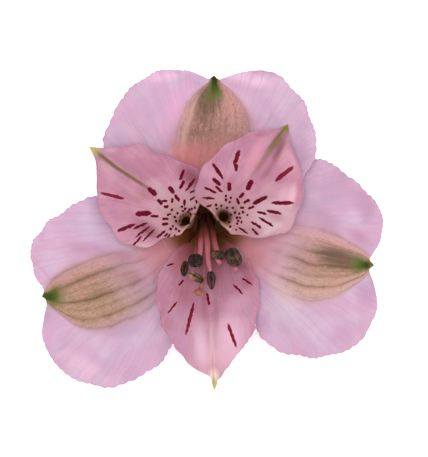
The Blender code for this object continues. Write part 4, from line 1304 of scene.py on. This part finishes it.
stalk = {
    "ovaryTop": -28.5,      # mm, its depth behind the bloom
    # the ovary's radius, by how far down, in mm
    "profile": [(0.0, 3.55), (0.4, 3.75), (2.2, 3.85), (4.2, 3.4), (6.0, 2.5), (7.4, 1.7), (8.4, 1.3)],
    "ovaryRings": 40,
    "rib": 0.08,            # of the radius
    "ribs": 6,
    "ribsEnd": (5.0, 8.4),  # mm down, where they fade out
    "radius": 1.2,
    "run": 26.0,            # mm that the stalk lies on the surface
    "swing": 3.0,           # mm, to the right at its end
    "lift": 0.02,
    "bendRings": 24,
    "runRings": 40,
    "sides": 48,
    "green": tint(116, 142, 66),
    "pale": tint(158, 172, 104),
    "ridge": tint(92, 118, 50),
    "blush": tint(150, 108, 88),
    # the ovary's top, where it shows at the bottom of the throat, is painted the throat's brown shade
    "collarShade": tint(150, 92, 50, 0.72),
    "fleck": tint(190, 196, 140),
    "cut": tint(206, 210, 160),
    "roughness": 0.5,
    "subsurface": 0.1,
    "specular": 0.3,
}


def stalkPath():
    # It bends out of the flower's axis until it lies on the surface, then runs on and swings aside
    place = Matrix.Translation(lie["middle"]) @ flowerTurn.to_matrix().to_4x4()
    tilt = math.radians(lie["tilt"])
    start = place @ Vector((0.0, 0.0, stalk["ovaryTop"] - stalk["profile"][-1][0]))
    bend = (start.z - stalk["radius"] - stalk["lift"]) / (1.0 - math.cos(tilt))
    back = place.inverted()
    path = []
    for step in range(1, stalk["bendRings"] + 1):
        turned = tilt * step / stalk["bendRings"]
        run = bend * (math.sin(tilt) - math.sin(tilt - turned))
        fall = bend * (math.cos(tilt - turned) - math.cos(tilt))
        path.append(back @ Vector((start.x, start.y + run, start.z - fall)))
    end = place @ path[-1]
    for step in range(1, stalk["runRings"] + 1):
        part = step / stalk["runRings"]
        swung = end.x + stalk["swing"] * part * part
        path.append(back @ Vector((swung, end.y + stalk["run"] * part, end.z)))
    return path


def paintStalk():
    made = startMaterial("stalk_skin", stalk)
    _, place, ribWave, _ = stored("run")
    _, aside, ahead, down = stored("round")
    fine = grain(flatPlace(aside * 9, ahead * 9, down * 0.25), 1, 3)
    clouds = grain(flatPlace(aside * 1.5, ahead * 1.5, down * 0.12), 1, 3)
    inward = reckon("LENGTH", flatPlace(aside, ahead))
    colour = layered(stalk["green"], [
        (clouds.fade(0.35, 0.65), "pale"),
        (ribWave.fade(-0.4, 1) * place.fade(0.2, 0.14) * 0.5, "ridge"),
        (place.fade(0.05, 0) * 0.25, "blush"),
        (fine.fade(0.52, 0.72) * 0.35, "fleck"),
        (place.fade(0.9985, 0.9995), "cut"),
        # painted shade: the ovary's top, seen at the bottom of the throat, in the throat's brown
        (inward.fade(0.96, 0.92) * place.fade(0.001, 0.0005), "collarShade"),
    ])
    return finishMaterial(made, colour, fine, 0.04)


def growStalk():
    downs = [down for down, _ in stalk["profile"]]
    places = np.linspace(0.0, downs[-1], stalk["ovaryRings"])
    radii = list(through(stalk["profile"], places))
    path = [Vector((0.0, 0.0, stalk["ovaryTop"] - down)) for down in places] + stalkPath()
    radii += [stalk["radius"]] * (len(path) - len(radii))
    fades = [1.0 - softStep(down, *stalk["ribsEnd"]) for down in places]
    fades += [0.0] * (len(path) - len(fades))

    def ribbed(index, angle):
        return 1.0 + stalk["rib"] * fades[index] * math.cos(stalk["ribs"] * angle)

    points, faces = sweep(path, radii, stalk["sides"], ribbed)
    total = sum((second - first).length for first, second in zip(path, path[1:]))
    run, around = [], []
    for place in knotsThrough(path):
        for corner in range(stalk["sides"]):
            angle = 2.0 * math.pi * corner / stalk["sides"]
            run.append((place, math.cos(stalk["ribs"] * angle), 0.0))
            around.append((math.cos(angle), math.sin(angle), place * total))
    run += [(0.0, 0.0, 0.0), (1.0, 0.0, 0.0)]
    around += [(0.0, 0.0, 0.0), (0.0, 0.0, total)]
    addPiece("stalk_and_ovary", points, faces, paintStalk(), {"run": run, "round": around})


growStalk()
print("stalk and ovary done")

# The floor, the light and the camera
studio = {
    "floorSize": 3.0,                       # m
    "floorColour": tint(250, 250, 250, 1.0),
    "floorShade": tint(240, 240, 240, 1.0),
    "floorGlow": 0.30,                      # a light table's glow, which softens the shadow
    "roughness": 0.9,                       # of the floor, as the next two
    "subsurface": 0.0,
    "specular": 0.1,
    "world": 0.86,
    # each light's place and size in m, and its power in W
    "lights": {"key": ((-0.05, -0.66, 0.50), 0.36, 4.5), "fill": ((0.35, -0.60, 0.45), 0.60, 1.45)},
    "lens": 150.0,                          # mm
    "sensor": 36.0,                         # mm
    "imageHigh": 457.0 * 0.19,              # mm of the flower that the picture's height shows
    "aim": (1.52, -1.24),                   # mm from the flower's axis to the picture's middle
}
white = (1.0, 1.0, 1.0, 1.0)


def layFloor():
    half = studio["floorSize"] / 2.0
    mesh = bpy.data.meshes.new("floor")
    mesh.from_pydata([(-half, -half, 0.0), (half, -half, 0.0), (half, half, 0.0), (-half, half, 0.0)],
                     [], [(0, 1, 2, 3)])
    material, shader = startMaterial("floor_paper", studio)
    tone = grain(put("ShaderNodeTexCoord", {}, "Object"), 30, 3)
    feed(shader.inputs["Base Color"], blend(tone * 0.04, studio["floorColour"], studio["floorShade"]))
    shader.inputs["Emission Color"].default_value = white
    shader.inputs["Emission Strength"].default_value = studio["floorGlow"]
    mesh.materials.append(material)
    floor = addObject("floor", mesh)


def lightStudio():
    world = bpy.data.worlds.new("studio")
    world.use_nodes = True
    background = world.node_tree.nodes["Background"]
    background.inputs["Color"].default_value = white
    background.inputs["Strength"].default_value = studio["world"]
    bpy.context.scene.world = world
    for name, (place, size, power) in studio["lights"].items():
        lamp = bpy.data.lights.new(name, "AREA")
        lamp.shape = "DISK"
        lamp.size = size
        lamp.energy = power
        light = addObject(name, lamp)
        light.location = place
        light.rotation_euler = (flowerPlace.translation - Vector(place)).to_track_quat("-Z", "Y").to_euler()


def setCamera():
    data = bpy.data.cameras.new("camera")
    data.lens = studio["lens"]
    data.sensor_width = studio["sensor"]
    data.clip_start = 0.01
    away = studio["lens"] * studio["imageHigh"] / studio["sensor"]
    camera = addObject("camera", data)
    camera.matrix_world = flowerPlace @ Matrix.Translation(Vector((*studio["aim"], away)) * mm)
    bpy.context.scene.camera = camera


layFloor()
lightStudio()
setCamera()
bpy.context.scene.view_settings.view_transform = "Standard"
print("studio done")
